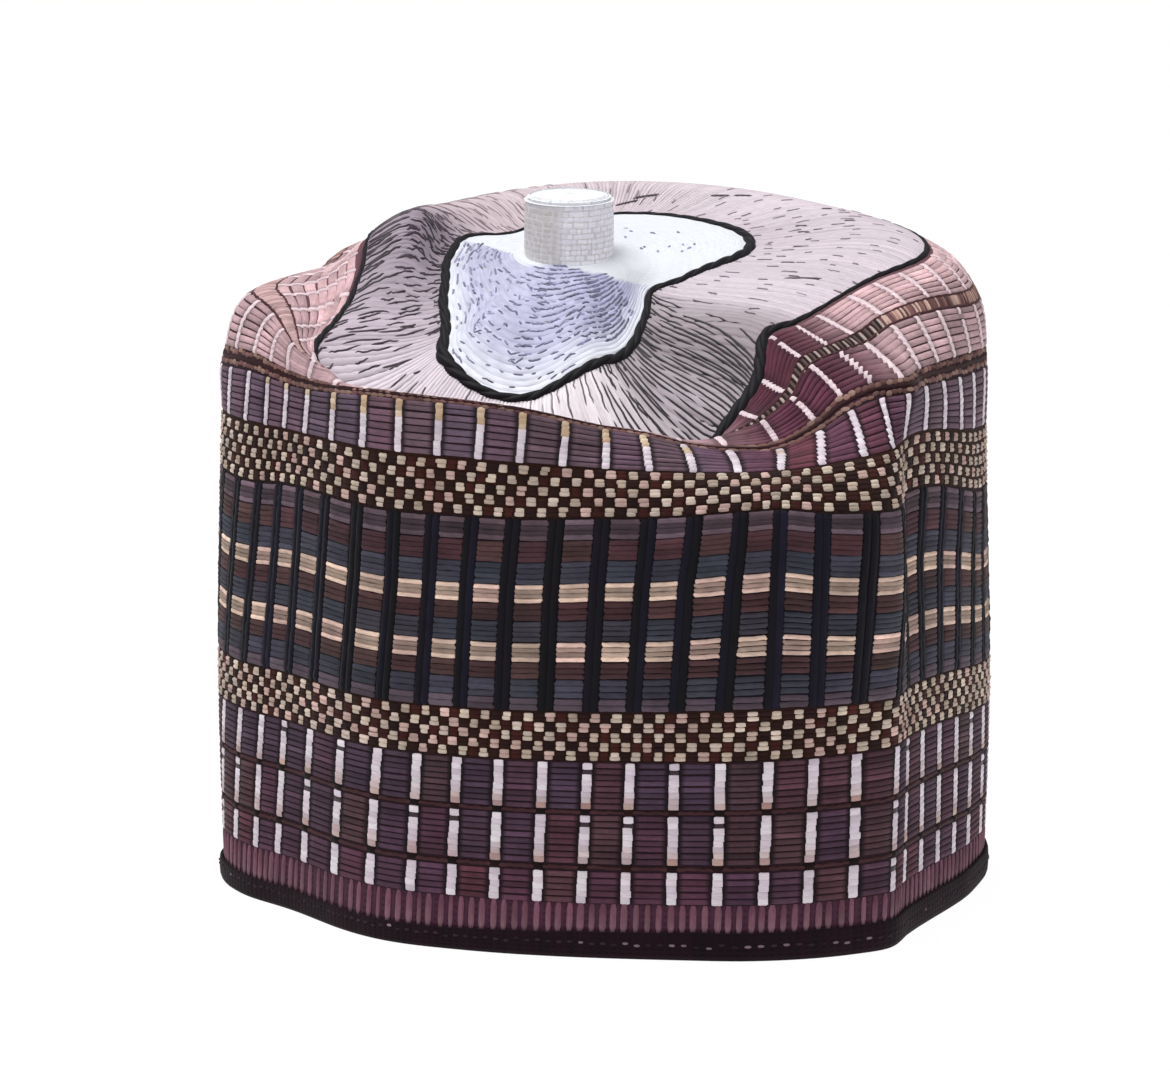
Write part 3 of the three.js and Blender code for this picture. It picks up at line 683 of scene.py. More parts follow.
# Two bands of small cream checks on dark brown; every other row is set off by half a check
checks = {
    # tone darkens a band's checks; the upper band's deeper darkening is painted shade
    "bands": rows("first last tone", (49.7, 61.3, 0.93), (108.2, 121.9, 0.82)),
    "perColumn": 2, "rowCount": 5,
    "cream": ["#d0bfaf", "#d5c2b6", "#bfab9c", "#ccada5"], "dark": ["#2c140e", "#260f10", "#3d1814"],
    "length": 2.35, "thread": 1.1, "overlap": 0.95, "start": 0.25, "rise": 0.55, "darkRise": 0.25,
    "offsets": (-0.5, -0.3, 0, 0.3, 0.5), "tallProfile": (0.35, 0.9, 1, 0.9, 0.35),
    "wideProfile": (0.95, 1.05, 1.08, 1.05, 0.95),
}


def makeChecks(name, hexes, shift, rise, seed):
    rng = np.random.default_rng(seed)
    perRow = columns * checks["perColumn"]
    column, run, hues = [], [], []
    for band in checks["bands"]:
        step = (band["last"] - band["first"]) / checks["rowCount"]
        for n in range(checks["rowCount"]):
            half = 0.5 * ((n + shift) % 2)
            hue = dye(rng, hexes, perRow, 0.1) * band["tone"]
            for side in (-0.5, 0.5):  # two threads to a check
                column.append((np.arange(perRow) + half + checks["start"]) / checks["perColumn"])
                middle = band["first"] + (n + 0.5) * step
                run.append(np.full(perRow, middle + side * checks["thread"] * checks["overlap"]))
                hues.append(hue * vary(rng, perRow, 0.08))
    column = np.concatenate(column)
    count = len(column)
    run = np.concatenate(run) + 0.06 * rng.standard_normal(count)
    offset = np.array(checks["offsets"]) * checks["length"] / pitch
    c = column[:, None] + offset * vary(rng, count, 0.1)
    c = c + 0.008 * rng.standard_normal((count, 1))
    tall = rise * np.array(checks["tallProfile"]) * vary(rng, count, 0.12)
    wide = checks["thread"] * np.array(checks["wideProfile"])
    stitchWall(name, c, np.broadcast_to(run[:, None], c.shape), wide, tall,
               np.concatenate(hues).clip(0.003, 1), 0.75)


makeChecks("paleChecks", checks["cream"], 0, checks["rise"], 7)
makeChecks("brownChecks", checks["dark"], 1, checks["darkRise"], 8)
print("checks ready")

# Wide plaid band: short cross threads in rows of one colour, between dark upright bars;
# rim is how light the first and last thread of a row are
plaid = {
    "rows": rows("first last threads rim colours",
                 (61.7, 64.6, 2, 1.1, ["#52464f", "#4e414b"]), (64.8, 69.1, 3, 0.95, ["#3d3d48", "#423f4d"]),
                 (69.3, 73.1, 3, 1, ["#4b3236", "#452e31", "#4c3837"]),
                 (73.3, 77.8, 4, 1.28, ["#c1a899", "#b8a092", "#bc9f95"]),
                 (78.1, 82.9, 4, 0.95, ["#3b3c47", "#403c46"]),
                 (83.1, 87.2, 3, 1, ["#4a2f33", "#442f30", "#4e3536"]),
                 (87.4, 91.7, 4, 1.28, ["#c1a899", "#baa193", "#bb9e94"]),
                 (91.9, 97, 4, 1, ["#3a3c48", "#403f4c"]),
                 (97.2, 102.2, 4, 1, ["#4c3036", "#472e34", "#4f3737"]),
                 (102.5, 107.6, 4, 1.3, ["#5c4b56", "#55464f", "#4f4047"])),
    "cellRise": 0.42, "cellWidth": 1.05, "cellProfile": (0.3, 0.8, 1, 1, 1, 0.8, 0.3),
    "offsets": (0, 0.03, 0.1, 0.5, 0.9, 0.97, 1), "rimAndMiddle": 1.9, "edge": 0.02,
    "bar": ["#100c17", "#110f1e", "#0d0a12"], "barWidth": 3.7, "barRise": 0.42, "barSteps": 48,
    "barThread": 0.56, "first": 61.4, "last": 107.9,
}


def makePlaid():
    rng = np.random.default_rng(11)
    column, run, thick, colours = [], [], [], []
    offset = np.array(plaid["offsets"])
    for row in plaid["rows"]:
        step = (row["last"] - row["first"]) / row["threads"]
        hue = dye(rng, row["colours"], columns, 0.07)
        for n in range(row["threads"]):
            isRim = n in (0, row["threads"] - 1)
            level = row["rim"] if isRim else plaid["rimAndMiddle"] - row["rim"]
            tone = level * (1 + 0.12 * rng.standard_normal(columns))
            sides = 1 + 0.5 * (row["rim"] - 1) * np.abs(offset - 0.5) * 2
            column.append(np.arange(columns))
            run.append(np.full(columns, row["first"] + (n + 0.5) * step))
            thick.append(np.full(columns, step * plaid["cellWidth"]))
            colours.append((hue * tone[:, None])[:, None] * sides[:, None])
    gap = (plaid["barWidth"] / 2) / pitch + plaid["edge"]
    c = np.concatenate(column)[:, None] + gap + offset * (1 - 2 * gap)
    r = np.concatenate(run)[:, None] + 0.05 * rng.standard_normal(c.shape)
    tall = plaid["cellRise"] * np.array(plaid["cellProfile"]) * vary(rng, len(c), 0.12)
    stitchWall("plaidThreads", c, r, np.concatenate(thick)[:, None], tall,
               np.concatenate(colours).clip(0.003, 1), 0.5)
    side = np.repeat([-0.25, 0.25], columns) * plaid["barWidth"] / pitch
    c = np.tile(np.arange(columns, dtype=float), 2) + side
    c, r = np.broadcast_arrays(c[:, None], np.linspace(plaid["first"], plaid["last"], plaid["barSteps"]))
    tall = plaid["barRise"] * (1 + 0.2 * rng.standard_normal(c.shape))
    stitchWall("plaidBars", c, r, plaid["barWidth"] * plaid["barThread"], tall,
               dye(rng, plaid["bar"], len(c), 0.15), 0)


makePlaid()
print("plaid ready")

# The hem's tape is turned up less on the left of the front
hemRows = rows("turn share", (30, 1), (140, 0.95), (180, 0.8), (215, 0.76), (245, 0.78), (262, 0.9),
               (285, 1), (330, 1))


def hemShare(turn):
    return closedCurve(hemRows, "share", turn)


# Upright ribs above the hem
ribs = {"perColumn": 4, "last": 13.7, "steps": 6, "width": 1.55, "rise": 0.36,
        "hemRun": 7, "under": 0.4, "palest": 0.8,
        "colours": ["#6f4756", "#69414f", "#754e5b"], "footColour": "#8a6a74"}


def makeRibs():
    rng = np.random.default_rng(13)
    count = columns * ribs["perColumn"]
    c = (np.arange(count) / ribs["perColumn"])[:, None] + 0.012 * rng.standard_normal((count, 1))
    first = hemShare(turnOf(c, ribs["hemRun"])) * sizes["hemHeight"] - ribs["under"]
    r = first + (ribs["last"] - first) * np.linspace(0, 1, ribs["steps"])
    wide = ribs["width"] * vary(rng, count, 0.1)
    low = np.linspace(1, 0, ribs["steps"])[:, None] ** 2 * ribs["palest"]
    colours = dye(rng, ribs["colours"], count, 0.12)[:, None]
    colours = colours * (1 - low) + hexLinear(ribs["footColour"]) * low
    stitchWall("hemRibs", c + 0 * r, r, wide, ribs["rise"], colours, 0.4)


# Seams between the upper rows, knots under the bars, and stitches that run along and across the seams
seams = {
    "lines": rows("run width rise colour",
                  (22.7, 0.9, 0.25, "#42262a"), (36.8, 0.9, 0.25, "#42262a"), (49.4, 0.5, 0.2, "#2a1418"),
                  (136.9, 1.1, 0.3, "#2c0f13"), (150.5, 0.7, 0.3, "#4a2a2e"), (153.8, 0.7, 0.3, "#4a2a2e")),
    "steps": 500, "profile": (0.3, 0.9, 1, 0.9, 0.3),
    "knotRuns": (22.7, 36.8), "knotLength": 3.4, "knotWidth": 1.9, "knotRise": 0.4,
    "knot": ["#170507", "#220809", "#120405"],
    "running": rows("run perColumn length width rise",
                    (135.5, 5, 2.3, 1.3, 0.26), (138.3, 5, 2.3, 1.4, 0.28)),
    "runningColours": ["#755550", "#83655c", "#634543", "#8a6e64", "#6d4d4a"],
}
crossing = {
    "perColumn": 12, "first": 150.3, "last": 153.8, "lean": 0.4, "width": 0.85, "rise": 0.34, "run": 152,
    "colours": ["#8d6862", "#a5847a", "#6b4a48", "#b79a90", "#5a3a3c"],
    # left is a paler colour on the left shoulder, partly painted light from above
    "left": "#d9b4b4", "leftAt": 185, "leftWide": 35,
    "fold": ["#1c1014", "#a8968f", "#241618", "#5a4644"], "foldAt": 305, "foldWide": 22,
}


def makeSeamLines(rng):
    c = np.linspace(0, columns, seams["steps"])
    read = {name: np.array(listOf(seams["lines"], name))[:, None] for name in ("run", "width", "rise")}
    run = read["run"] + 0.1 * rng.standard_normal((len(seams["lines"]), len(c)))
    run[:, -1] = run[:, 0]
    wide = read["width"] * (1 + 0.12 * rng.standard_normal(run.shape))
    colours = np.array([hexLinear(text) for text in listOf(seams["lines"], "colour")])
    stitchWall("seamLines", np.broadcast_to(c, run.shape), run, wide, read["rise"], colours, 1)


def makeSeamStitches(rng):
    groups = []
    for run in seams["knotRuns"]:
        full = np.full(columns, 1.0)
        groups.append((np.arange(columns, dtype=float), run * full, seams["knotLength"] * full,
                       seams["knotWidth"] * full, seams["knotRise"] * full,
                       dye(rng, seams["knot"], columns, 0.1)))
    for row in seams["running"]:
        count = columns * row["perColumn"]
        column = (np.arange(count) + 0.5) / row["perColumn"]
        level = row["run"] + 0.2 * rng.standard_normal(count)
        width = row["width"] * (1 + 0.15 * rng.standard_normal(count))
        groups.append((column, level, np.full(count, row["length"]), width, np.full(count, row["rise"]),
                       dye(rng, seams["runningColours"], count, 0.12)))
    column, level, length, width, rise, hues = [np.concatenate(part) for part in zip(*groups)]
    offset = np.linspace(-0.5, 0.5, 5)
    c = column[:, None] + offset * length[:, None] / pitch
    r = level[:, None] + 0.3 * offset * rng.standard_normal((len(column), 1))
    profile = np.array(seams["profile"])
    wide = width[:, None] * (0.7 + 0.3 * profile)
    stitchWall("seamStitches", c, r, wide, rise[:, None] * profile, hues, 0.4)


def makeSeamCrossing(rng):
    count = columns * crossing["perColumn"]
    c = ((np.arange(count) + 0.5) / crossing["perColumn"])[:, None]
    r = np.linspace(crossing["first"], crossing["last"], 5) + 0.2 * rng.standard_normal((count, 1))
    c = c + np.linspace(-crossing["lean"], crossing["lean"], 5) / crossing["perColumn"]
    turn = turnOf(c[:, 2], crossing["run"])
    fold = (nearTurn(turn, crossing["foldAt"], crossing["foldWide"]) > 0.5)[:, None]
    side = dye(rng, crossing["colours"], count, 0.12)
    left = nearTurn(turn, crossing["leftAt"], crossing["leftWide"])[:, None]
    side = side * (1 - left) + hexLinear(crossing["left"]) * (0.5 + 0.5 * rng.random((count, 1))) * left
    stripes = np.array([hexLinear(crossing["fold"][k % len(crossing["fold"])]) for k in range(count)])
    stitchWall("seamCrossing", c, r, crossing["width"], crossing["rise"] * np.array(seams["profile"]),
               np.where(fold, stripes, side), 0.5)


makeRibs()
seamRandom = np.random.default_rng(17)
makeSeamLines(seamRandom)
makeSeamStitches(seamRandom)
makeSeamCrossing(seamRandom)
print("ribs and seams ready")

# Folded tape round the hem, with a line of small stitches
hem = {
    "around": 300, "colour": ["#1a0711", "#15060f"], "grain": 1.3,
    # the tape's section, from the wall's outer face round the edge to its inner face: where it starts,
    # then tapes out from there and share of the height
    "section": rows("side out up",
                    ("outer", 0, 0.97), ("outer", 0.6, 1), ("outer", 1, 0.93), ("outer", 1.15, 0.72),
                    ("outer", 1.2, 0.45), ("outer", 1.1, 0.2), ("outer", 0.75, 0.06), ("outer", 0.2, 0),
                    ("inner", -0.2, 0), ("inner", -0.8, 0.06), ("inner", -1, 0.3), ("inner", -1, 0.93),
                    ("inner", -0.5, 1), ("inner", 0, 0.97)),
    "waveHigh": 0.05, "waveOut": 0.25,
    "stitchEvery": 2.6, "stitchLength": 1.3, "stitchUp": 3.9, "stitchUneven": 0.25,
    "stitchOut": 1.2, "stitchClear": 0.05,
    "stitchWidth": 0.7, "stitchRise": 0.3, "stitch": ["#2c1a27", "#34202e", "#241520"],
    "paleFrom": 272, "paleTo": 303, "paleShare": 0.55, "palestRest": 0.04, "paleStitch": "#86707d",
}


def makeHemTape(rng):
    turn = np.linspace(0, 360, hem["around"], endpoint=False)
    gap, tape, high = sizes["clearance"], sizes["tapeThickness"], sizes["hemHeight"]
    start = {"outer": gap, "inner": -(sizes["wallThickness"] + gap)}
    out = np.array([start[spot["side"]] + spot["out"] * tape for spot in hem["section"]])[:, None] + 0 * turn
    up = np.array([spot["up"] * high for spot in hem["section"]])[:, None]
    wave = 0.25 * np.sin(np.radians(turn) * 23 + 1) + 0.2 * np.sin(np.radians(turn) * 41)
    z = up * (1 + hem["waveHigh"] * wave) * hemShare(turn)
    out = np.where(out > 0, out + hem["waveOut"] * wave * (out - gap), out)
    points = clothPoint(turn, z) + levelOut(turn) * out[..., None]
    points[..., 2] = z
    colours = np.broadcast_to(dye(rng, hem["colour"], len(turn), 0.1), points.shape)
    grain = np.stack(np.broadcast_arrays(turn * girth / 360, up * hem["grain"]), -1)
    piece = makePiece("hemTape", points.reshape(-1, 3), gridFaces(len(up), len(turn)), "cloth",
                      colours.reshape(-1, 3), grain.reshape(-1, 2))
    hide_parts("hem_binding")


def makeHemStitches(rng):
    count = int(girth / hem["stitchEvery"])
    start = np.arange(count) * 360 / count
    t = start[:, None] + np.linspace(0, 1, 4) * hem["stitchLength"] / girth * 360
    z = np.full(t.shape, hem["stitchUp"]) + hem["stitchUneven"] * rng.standard_normal((count, 1))
    outward = levelOut(t)
    out = sizes["clearance"] + hem["stitchOut"] * sizes["tapeThickness"] + hem["stitchClear"]
    middle = clothPoint(t, z) + outward * out
    middle[..., 2] = z
    tint = dye(rng, hem["stitch"], count, 0.1)
    pale = (start > hem["paleFrom"]) & (start < hem["paleTo"]) & (rng.random(count) < hem["paleShare"])
    pale |= rng.random(count) < hem["palestRest"]
    tint[pale] = hexLinear(hem["paleStitch"]) * (0.5 + 0.5 * rng.random((pale.sum(), 1)))
    layStrands("hemStitches", middle, outward, hem["stitchWidth"], hem["stitchRise"], tint, "yarn",
               sink=0.1, taper=0.3)


hemRandom = np.random.default_rng(19)
makeHemTape(hemRandom)
makeHemStitches(hemRandom)
print("hem ready")

# Crown ring: pale lilac thread laid from cord to cord
ring = {
    "flat": (0.146, 0.146), "area": 0.0109,  # metres and square metres: a ring cut from a square
    "around": 260, "down": 22, "first": 166.2, "last": 205.7, "sunk": 0.3, "grain": 1.1,
    # ground and thread darken in the fold at the front right, about turns 285 to 315, as painted shade
    "tones": rows("turn ground thread",
                  (0, "#a698a2", "#cbbec7"), (60, "#aa9aa3", "#d2c5cc"), (120, "#a5939b", "#ccbcc2"),
                  (150, "#988790", "#bfaeb5"), (165, "#6a5c67", "#978895"), (190, "#655763", "#988a97"),
                  (207, "#9c8e9a", "#bcaeb9"), (216, "#b9abb7", "#d8ccd6"), (240, "#c6bac3", "#e2d8df"),
                  (262, "#d4c9d1", "#faf2f7"), (280, "#b6abb2", "#efe6ec"), (291, "#6a5f66", "#a79ba3"),
                  (300, "#51464c", "#91858c"), (306, "#51464c", "#91848b"), (312, "#85777f", "#b9acb4"),
                  (318, "#a3959e", "#cfc3cc"), (340, "#a698a2", "#cbbec7")),
}
# knots are the swellings along a thread; sway is in degrees a step
ringThreads = {"count": 300, "steps": 26, "rise": 0.32, "sway": 0.04, "overlap": 1.12, "knotMm": 4.2,
               "knotSwell": 0.14, "riseBase": 0.8, "riseKnot": 0.25}
# Dark lines on the ring, whose number and length change round it: lines a degree, length, gap and width
# in mm, waver, and degrees gained from cord to cord
ringLines = {
    "strokes": rows("turn perDegree length gap width waver slant colour",
                    (0, 0.36, 2.6, 11, 0.55, 0.2, 0, "#7d6d77"), (30, 0.28, 3, 15, 0.5, 0.2, 0, "#82727a"),
                    (70, 0.25, 3.5, 18, 0.5, 0.2, 0, "#85757c"), (120, 0.5, 7, 6, 0.45, 0.3, 0, "#98828a"),
                    (150, 0.55, 8, 5, 0.5, 0.5, 0, "#75636c"), (165, 0.72, 5, 2.2, 0.82, 0.9, 2, "#3a2b38"),
                    (190, 0.88, 5.5, 1.9, 0.85, 0.9, 4, "#322431"), (207, 0.72, 6, 3.2, 0.74, 0.7, 6, "#382a36"),
                    (215, 0.25, 4, 13, 0.6, 0.4, 5, "#4a3c48"), (238, 0.2, 3, 18, 0.5, 0.3, 0, "#6a5b66"),
                    (258, 0.34, 6, 9, 0.4, 0.4, 0, "#84767f"), (270, 0.42, 8, 6, 0.45, 0.5, 1, "#74666e"),
                    (280, 0.6, 11, 3, 0.55, 0.5, 1, "#3f3239"), (287, 0.85, 14, 1.6, 0.7, 0.6, 1, "#1e141a"),
                    (296, 0.95, 20, 1, 0.74, 0.35, -3, "#140c11"), (305, 0.95, 22, 1, 0.76, 0.3, -7, "#140c11"),
                    (311, 0.9, 20, 1.2, 0.76, 0.3, -10, "#170e13"), (314, 0.35, 5, 8, 0.6, 0.4, -8, "#4a3c44"),
                    (322, 0.32, 3, 12, 0.5, 0.2, 0, "#7a6a74"), (345, 0.38, 2.8, 10, 0.55, 0.2, 0, "#73636d")),
    "samples": 1441, "uneven": 0.12, "shortest": 1.2, "waverScale": 0.32, "driftKept": 0.3, "rise": 0.45,
    "swell": (0.6, 0.9, 1.1, 1, 0.95, 1.1, 1, 0.85, 0.5),
}
# Single dark stitches; lean is degrees from straight down the ring
flecks = {
    "rows": rows("turn run length lean", (330, 179, 10, -15), (48, 184, 4, 60), (53, 187, 4.5, 70),
                 (75, 192, 7, 75), (81, 197, 6, 70), (24, 179, 3, 0), (9, 182, 3, 5),
                 (10, 193, 3, 30), (4, 194, 3.5, 25), (352, 195, 3, 10), (339, 190, 4, 0),
                 (312, 177, 3, -25), (215, 193, 8.5, 5), (221, 198, 2.5, 20)),
    "width": 0.75, "rise": 0.5, "colour": "#4a3d47", "steps": 7,
}


def ringTable(table, name, turn):
    # one column of a table read at each turn; colours are mixed in linear light
    known = listOf(table, "turn")
    if isinstance(table[0][name], str):
        shades = np.array([hexLinear(text) for text in listOf(table, name)])
        return np.stack([np.interp(turn, known, shades[:, k], period=360) for k in range(3)], -1)
    return np.interp(turn, known, listOf(table, name), period=360)


def turnLength(turn, run):
    # mm to a degree of turn
    return np.linalg.norm(clothPoint(turn + 1, run) - clothPoint(turn, run), axis=-1)


def makeRing():
    turn = np.linspace(0, 360, ring["around"], endpoint=False)
    t, r = np.meshgrid(turn, np.linspace(ring["first"], ring["last"], ring["down"]))
    piece = makeLining("crownRingCloth", clothPoint(t, r), clothNormal(t, r), ring["sunk"],
                       ringTable(ring["tones"], "ground", t), np.stack([t * ring["grain"], r], -1))
    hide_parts("crown_ring")


def makeRingThreads():
    rng = np.random.default_rng(23)
    count, steps = ringThreads["count"], ringThreads["steps"]
    base = np.linspace(0, 360, count, endpoint=False)
    sway = np.cumsum(rng.standard_normal((count, steps)), 1)
    sway -= np.linspace(0, 1, steps) * sway[:, -1:]
    t = base[:, None] + ringThreads["sway"] * sway
    r = np.broadcast_to(np.linspace(ring["first"], ring["last"], steps), t.shape)
    spacing = np.linalg.norm(clothPoint(t + 360 / count, r) - clothPoint(t, r), axis=-1)
    phase = 2 * np.pi * (r / ringThreads["knotMm"] + rng.random((count, 1)))
    knots = 1 + ringThreads["knotSwell"] * np.sin(phase)
    colours = ringTable(ring["tones"], "thread", t) * (1 + 0.06 * rng.standard_normal((count, 1, 1)))
    tall = ringThreads["rise"] * (ringThreads["riseBase"] + ringThreads["riseKnot"] * knots)
    stitchCrown("ringThreads", t, r, spacing * ringThreads["overlap"] * knots, tall, colours.clip(0.01, 1),
                taper=0.6)


def makeRingLines():
    rng = np.random.default_rng(37)
    table, steps = ringLines["strokes"], len(ringLines["swell"])
    fine = np.linspace(0, 360, ringLines["samples"])
    rate = ringTable(table, "perDegree", fine)
    total = np.concatenate([[0], np.cumsum((rate[1:] + rate[:-1]) / 2 * np.diff(fine))])
    base = np.interp(np.arange(int(total[-1])) + 0.5, total, fine)
    base = base + ringLines["uneven"] * rng.standard_normal(len(base)) / ringTable(table, "perDegree", base)
    read = {name: ringTable(table, name, base)
            for name in ("length", "gap", "width", "waver", "slant", "colour")}
    fall = ring["last"] - ring["first"]
    across = clothPoint(base, ring["last"]) - clothPoint(base, ring["first"])
    stretch = fall / np.linalg.norm(across, axis=-1)
    turns, runsAt, wide, hues = [], [], [], []
    for k, turn in enumerate(base):
        at = ring["first"] - stretch[k] * read["gap"][k] * rng.random() * 0.8
        drift = 0.0
        while at < ring["last"] - 1:
            end = at + stretch[k] * read["length"][k] * rng.uniform(0.55, 1.5)
            low, high = max(at, ring["first"]), min(end, ring["last"])
            if high - low > ringLines["shortest"]:
                scale = read["waver"][k] * ringLines["waverScale"] / turnLength(turn, low)
                wave = np.cumsum(rng.standard_normal(steps)) * scale
                lean = read["slant"][k] * np.linspace(ring["last"] - low, ring["last"] - high, steps) / fall
                turns.append(turn + drift + wave + lean)
                runsAt.append(np.linspace(low, high, steps))
                wide.append(read["width"][k] * rng.uniform(0.8, 1.2))
                hues.append(read["colour"][k] * rng.uniform(0.75, 1.35))
                drift = (drift + wave[-1]) * ringLines["driftKept"]
            at = end + stretch[k] * read["gap"][k] * rng.uniform(0.4, 1.6)
    stitchCrown("ringLines", np.array(turns), np.array(runsAt), np.array(wide)[:, None] * ringLines["swell"],
                ringLines["rise"], np.array(hues).clip(0.002, 1), sink=0.1, taper=0.5)


def makeFlecks():
    middle, level, length, lean = [np.array(listOf(flecks["rows"], name), float)[:, None]
                                   for name in ("turn", "run", "length", "lean")]
    lean = np.radians(lean)
    perRun = np.linalg.norm(clothPoint(middle, level + 1) - clothPoint(middle, level), axis=-1)
    offset = np.linspace(-0.5, 0.5, flecks["steps"])
    t = middle + offset * length * np.sin(lean) / turnLength(middle, level)
    r = (level + offset * length * np.cos(lean) / perRun).clip(ring["first"], ring["last"])
    colours = np.broadcast_to(hexLinear(flecks["colour"]), (len(t), 3))
    stitchCrown("ringFlecks", t, r, flecks["width"], flecks["rise"], colours,
                sink=0.1, taper=0.4)


makeRing()
makeRingThreads()
makeRingLines()
makeFlecks()
print("crown ring ready")

# White middle of the crown: rounds of stitches about the knob, lavender on the slope that faces the front,
# partly the thread's tint and partly painted shade
centre = {
    "flat": (0.086, 0.086), "area": 0.005,  # metres and square metres: a disc cut from a square
    "around": 220, "down": 24, "first": 206.3, "last": 243, "sunk": 0.3, "grain": 0.8, "ground": "#c9cad8",
    # the crest between the flat top and the slope: mm of cloth up, round the cap
    "crest": rows("turn run", (158, 200), (164, 204), (166, 210), (171, 219), (185, 232), (255, 236),
                  (286, 233.5), (302, 230.5), (308, 224.5), (314, 213), (318, 200)),
    "crestSoft": 1.6,
}
rounds = {
    "count": 22, "last": 236, "steps": 300, "rise": 0.24, "flatRise": 0.35, "overlap": 1.15,
    "white": "#e6e9ef", "lavenderAndShade": "#b5b4d2", "rim": "#e4e6f0", "rimRun": 208, "rimWide": 9,
    "leftTurn": 205, "leftWide": 45, "leftShare": 0.84, "patchy": 0.05, "patchSpan": 3,
}
dashes = {
    "patches": rows("turn spread inner outer count length",
                    (272, 22, 212, 235.5, 330, 1.9), (298, 8, 211, 231, 150, 2.4),
                    (238, 16, 213, 234, 120, 1.8), (192, 22, 209, 229, 125, 2.8), (250, 26, 208, 213, 24, 2)),
    "onFlat": 14, "flatTurns": (-40, 60), "flatRuns": (210, 230), "flatLengths": (0.8, 1.6),
    "width": 0.62, "rise": 0.36, "uneven": 0.25,
    "dark": "#73718e", "pale": "#8f8dab", "paleTurn": 232, "paleWide": 20,
}
roundStep = (rounds["last"] - centre["first"]) / rounds["count"]


def slopeShare(turn, run):
    # 1 on the slope below the crest, 0 on the flat top
    crest = np.interp(turn, listOf(centre["crest"], "turn"), listOf(centre["crest"], "run"), left=0, right=0)
    return np.clip((crest - run) / centre["crestSoft"], 0, 1)


def makeCentre():
    turn = np.linspace(0, 360, centre["around"], endpoint=False)
    t, r = np.meshgrid(turn, np.linspace(centre["first"], centre["last"], centre["down"]))
    points = clothPoint(t, r)
    piece = makeLining("crownCentreCloth", points, clothNormal(t, r), centre["sunk"],
                       np.broadcast_to(hexLinear(centre["ground"]), points.shape),
                       np.stack([t * centre["grain"], r], -1))
    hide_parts("crown_centre")


def makeRounds(rng):
    count = rounds["count"]
    t = np.broadcast_to(np.linspace(0, 360, rounds["steps"]), (count, rounds["steps"]))
    base = (centre["first"] + (np.arange(count) + 0.4) * roundStep)[:, None]
    r = base + 0.1 * np.sin(np.radians(t) * 9 + base) + 0.05 * np.sin(np.radians(t) * 31 + 2 * base)
    spacing = np.linalg.norm(clothPoint(t, r + roundStep) - clothPoint(t, r), axis=-1)
    slope = slopeShare(t, r)[..., None]
    rimward = np.clip((r - rounds["rimRun"]) / rounds["rimWide"], 0, 1)[..., None]
    fromLeft = np.clip((t - rounds["leftTurn"]) / rounds["leftWide"], 0, 1)[..., None]
    rimward = rimward * (rounds["leftShare"] + (1 - rounds["leftShare"]) * fromLeft)
    patches = 1 + rounds["patchy"] * smoothNoise(rng, t[:, :-1].shape, rounds["patchSpan"])
    patches = np.concatenate([patches, patches[:, :1]], 1)[..., None]
    # on the slope below the crest the rim colour gives way to lavender, which is partly painted shade
    front = hexLinear(rounds["rim"]) * (1 - rimward) + hexLinear(rounds["lavenderAndShade"]) * rimward
    colours = (hexLinear(rounds["white"]) * (1 - slope) + front * patches * slope).clip(0.01, 1)
    tall = rounds["rise"] * (rounds["flatRise"] + (1 - rounds["flatRise"]) * slope[..., 0])
    stitchCrown("centreRounds", t, r, spacing * rounds["overlap"], tall, colours, taper=1)


def makeDashes(rng):
    turns, runsAt, lengths = [], [], []
    for patch in dashes["patches"]:
        count = patch["count"]
        turns.append(patch["turn"] + patch["spread"] * rng.uniform(-1, 1, count))
        rowAt = rng.integers(0, int((patch["outer"] - patch["inner"]) / roundStep), count)
        runsAt.append(patch["inner"] + (rowAt + 0.5) * roundStep)
        lengths.append(patch["length"] * rng.uniform(0.5, 1.5, count))
    turns.append(rng.uniform(*dashes["flatTurns"], dashes["onFlat"]))
    runsAt.append(rng.uniform(*dashes["flatRuns"], dashes["onFlat"]))
    lengths.append(rng.uniform(*dashes["flatLengths"], dashes["onFlat"]))
    middle, level, length = [np.concatenate(part)[:, None] for part in (turns, runsAt, lengths)]
    t = middle + np.linspace(-0.5, 0.5, 5) * length / turnLength(middle, level)
    r = level + dashes["uneven"] * rng.standard_normal((len(t), 1)) * np.linspace(-1, 1, 5)
    onSlope = slopeShare(np.mod(middle, 360), level)[:, 0] > 0.5
    keep = onSlope | (np.arange(len(middle)) >= len(middle) - dashes["onFlat"])
    pale = np.clip((dashes["paleTurn"] - middle[keep]) / dashes["paleWide"], 0, 1)
    colours = hexLinear(dashes["dark"]) * (1 - pale) + hexLinear(dashes["pale"]) * pale
    colours = colours * np.exp(0.4 * rng.standard_normal((len(pale), 1)))
    stitchCrown("centreDashes", t[keep], r[keep], dashes["width"], dashes["rise"], colours.clip(0.01, 0.6),
                sink=0.1, taper=0.3)


makeCentre()
centreRandom = np.random.default_rng(29)
makeRounds(centreRandom)
makeDashes(centreRandom)
print("crown centre ready")

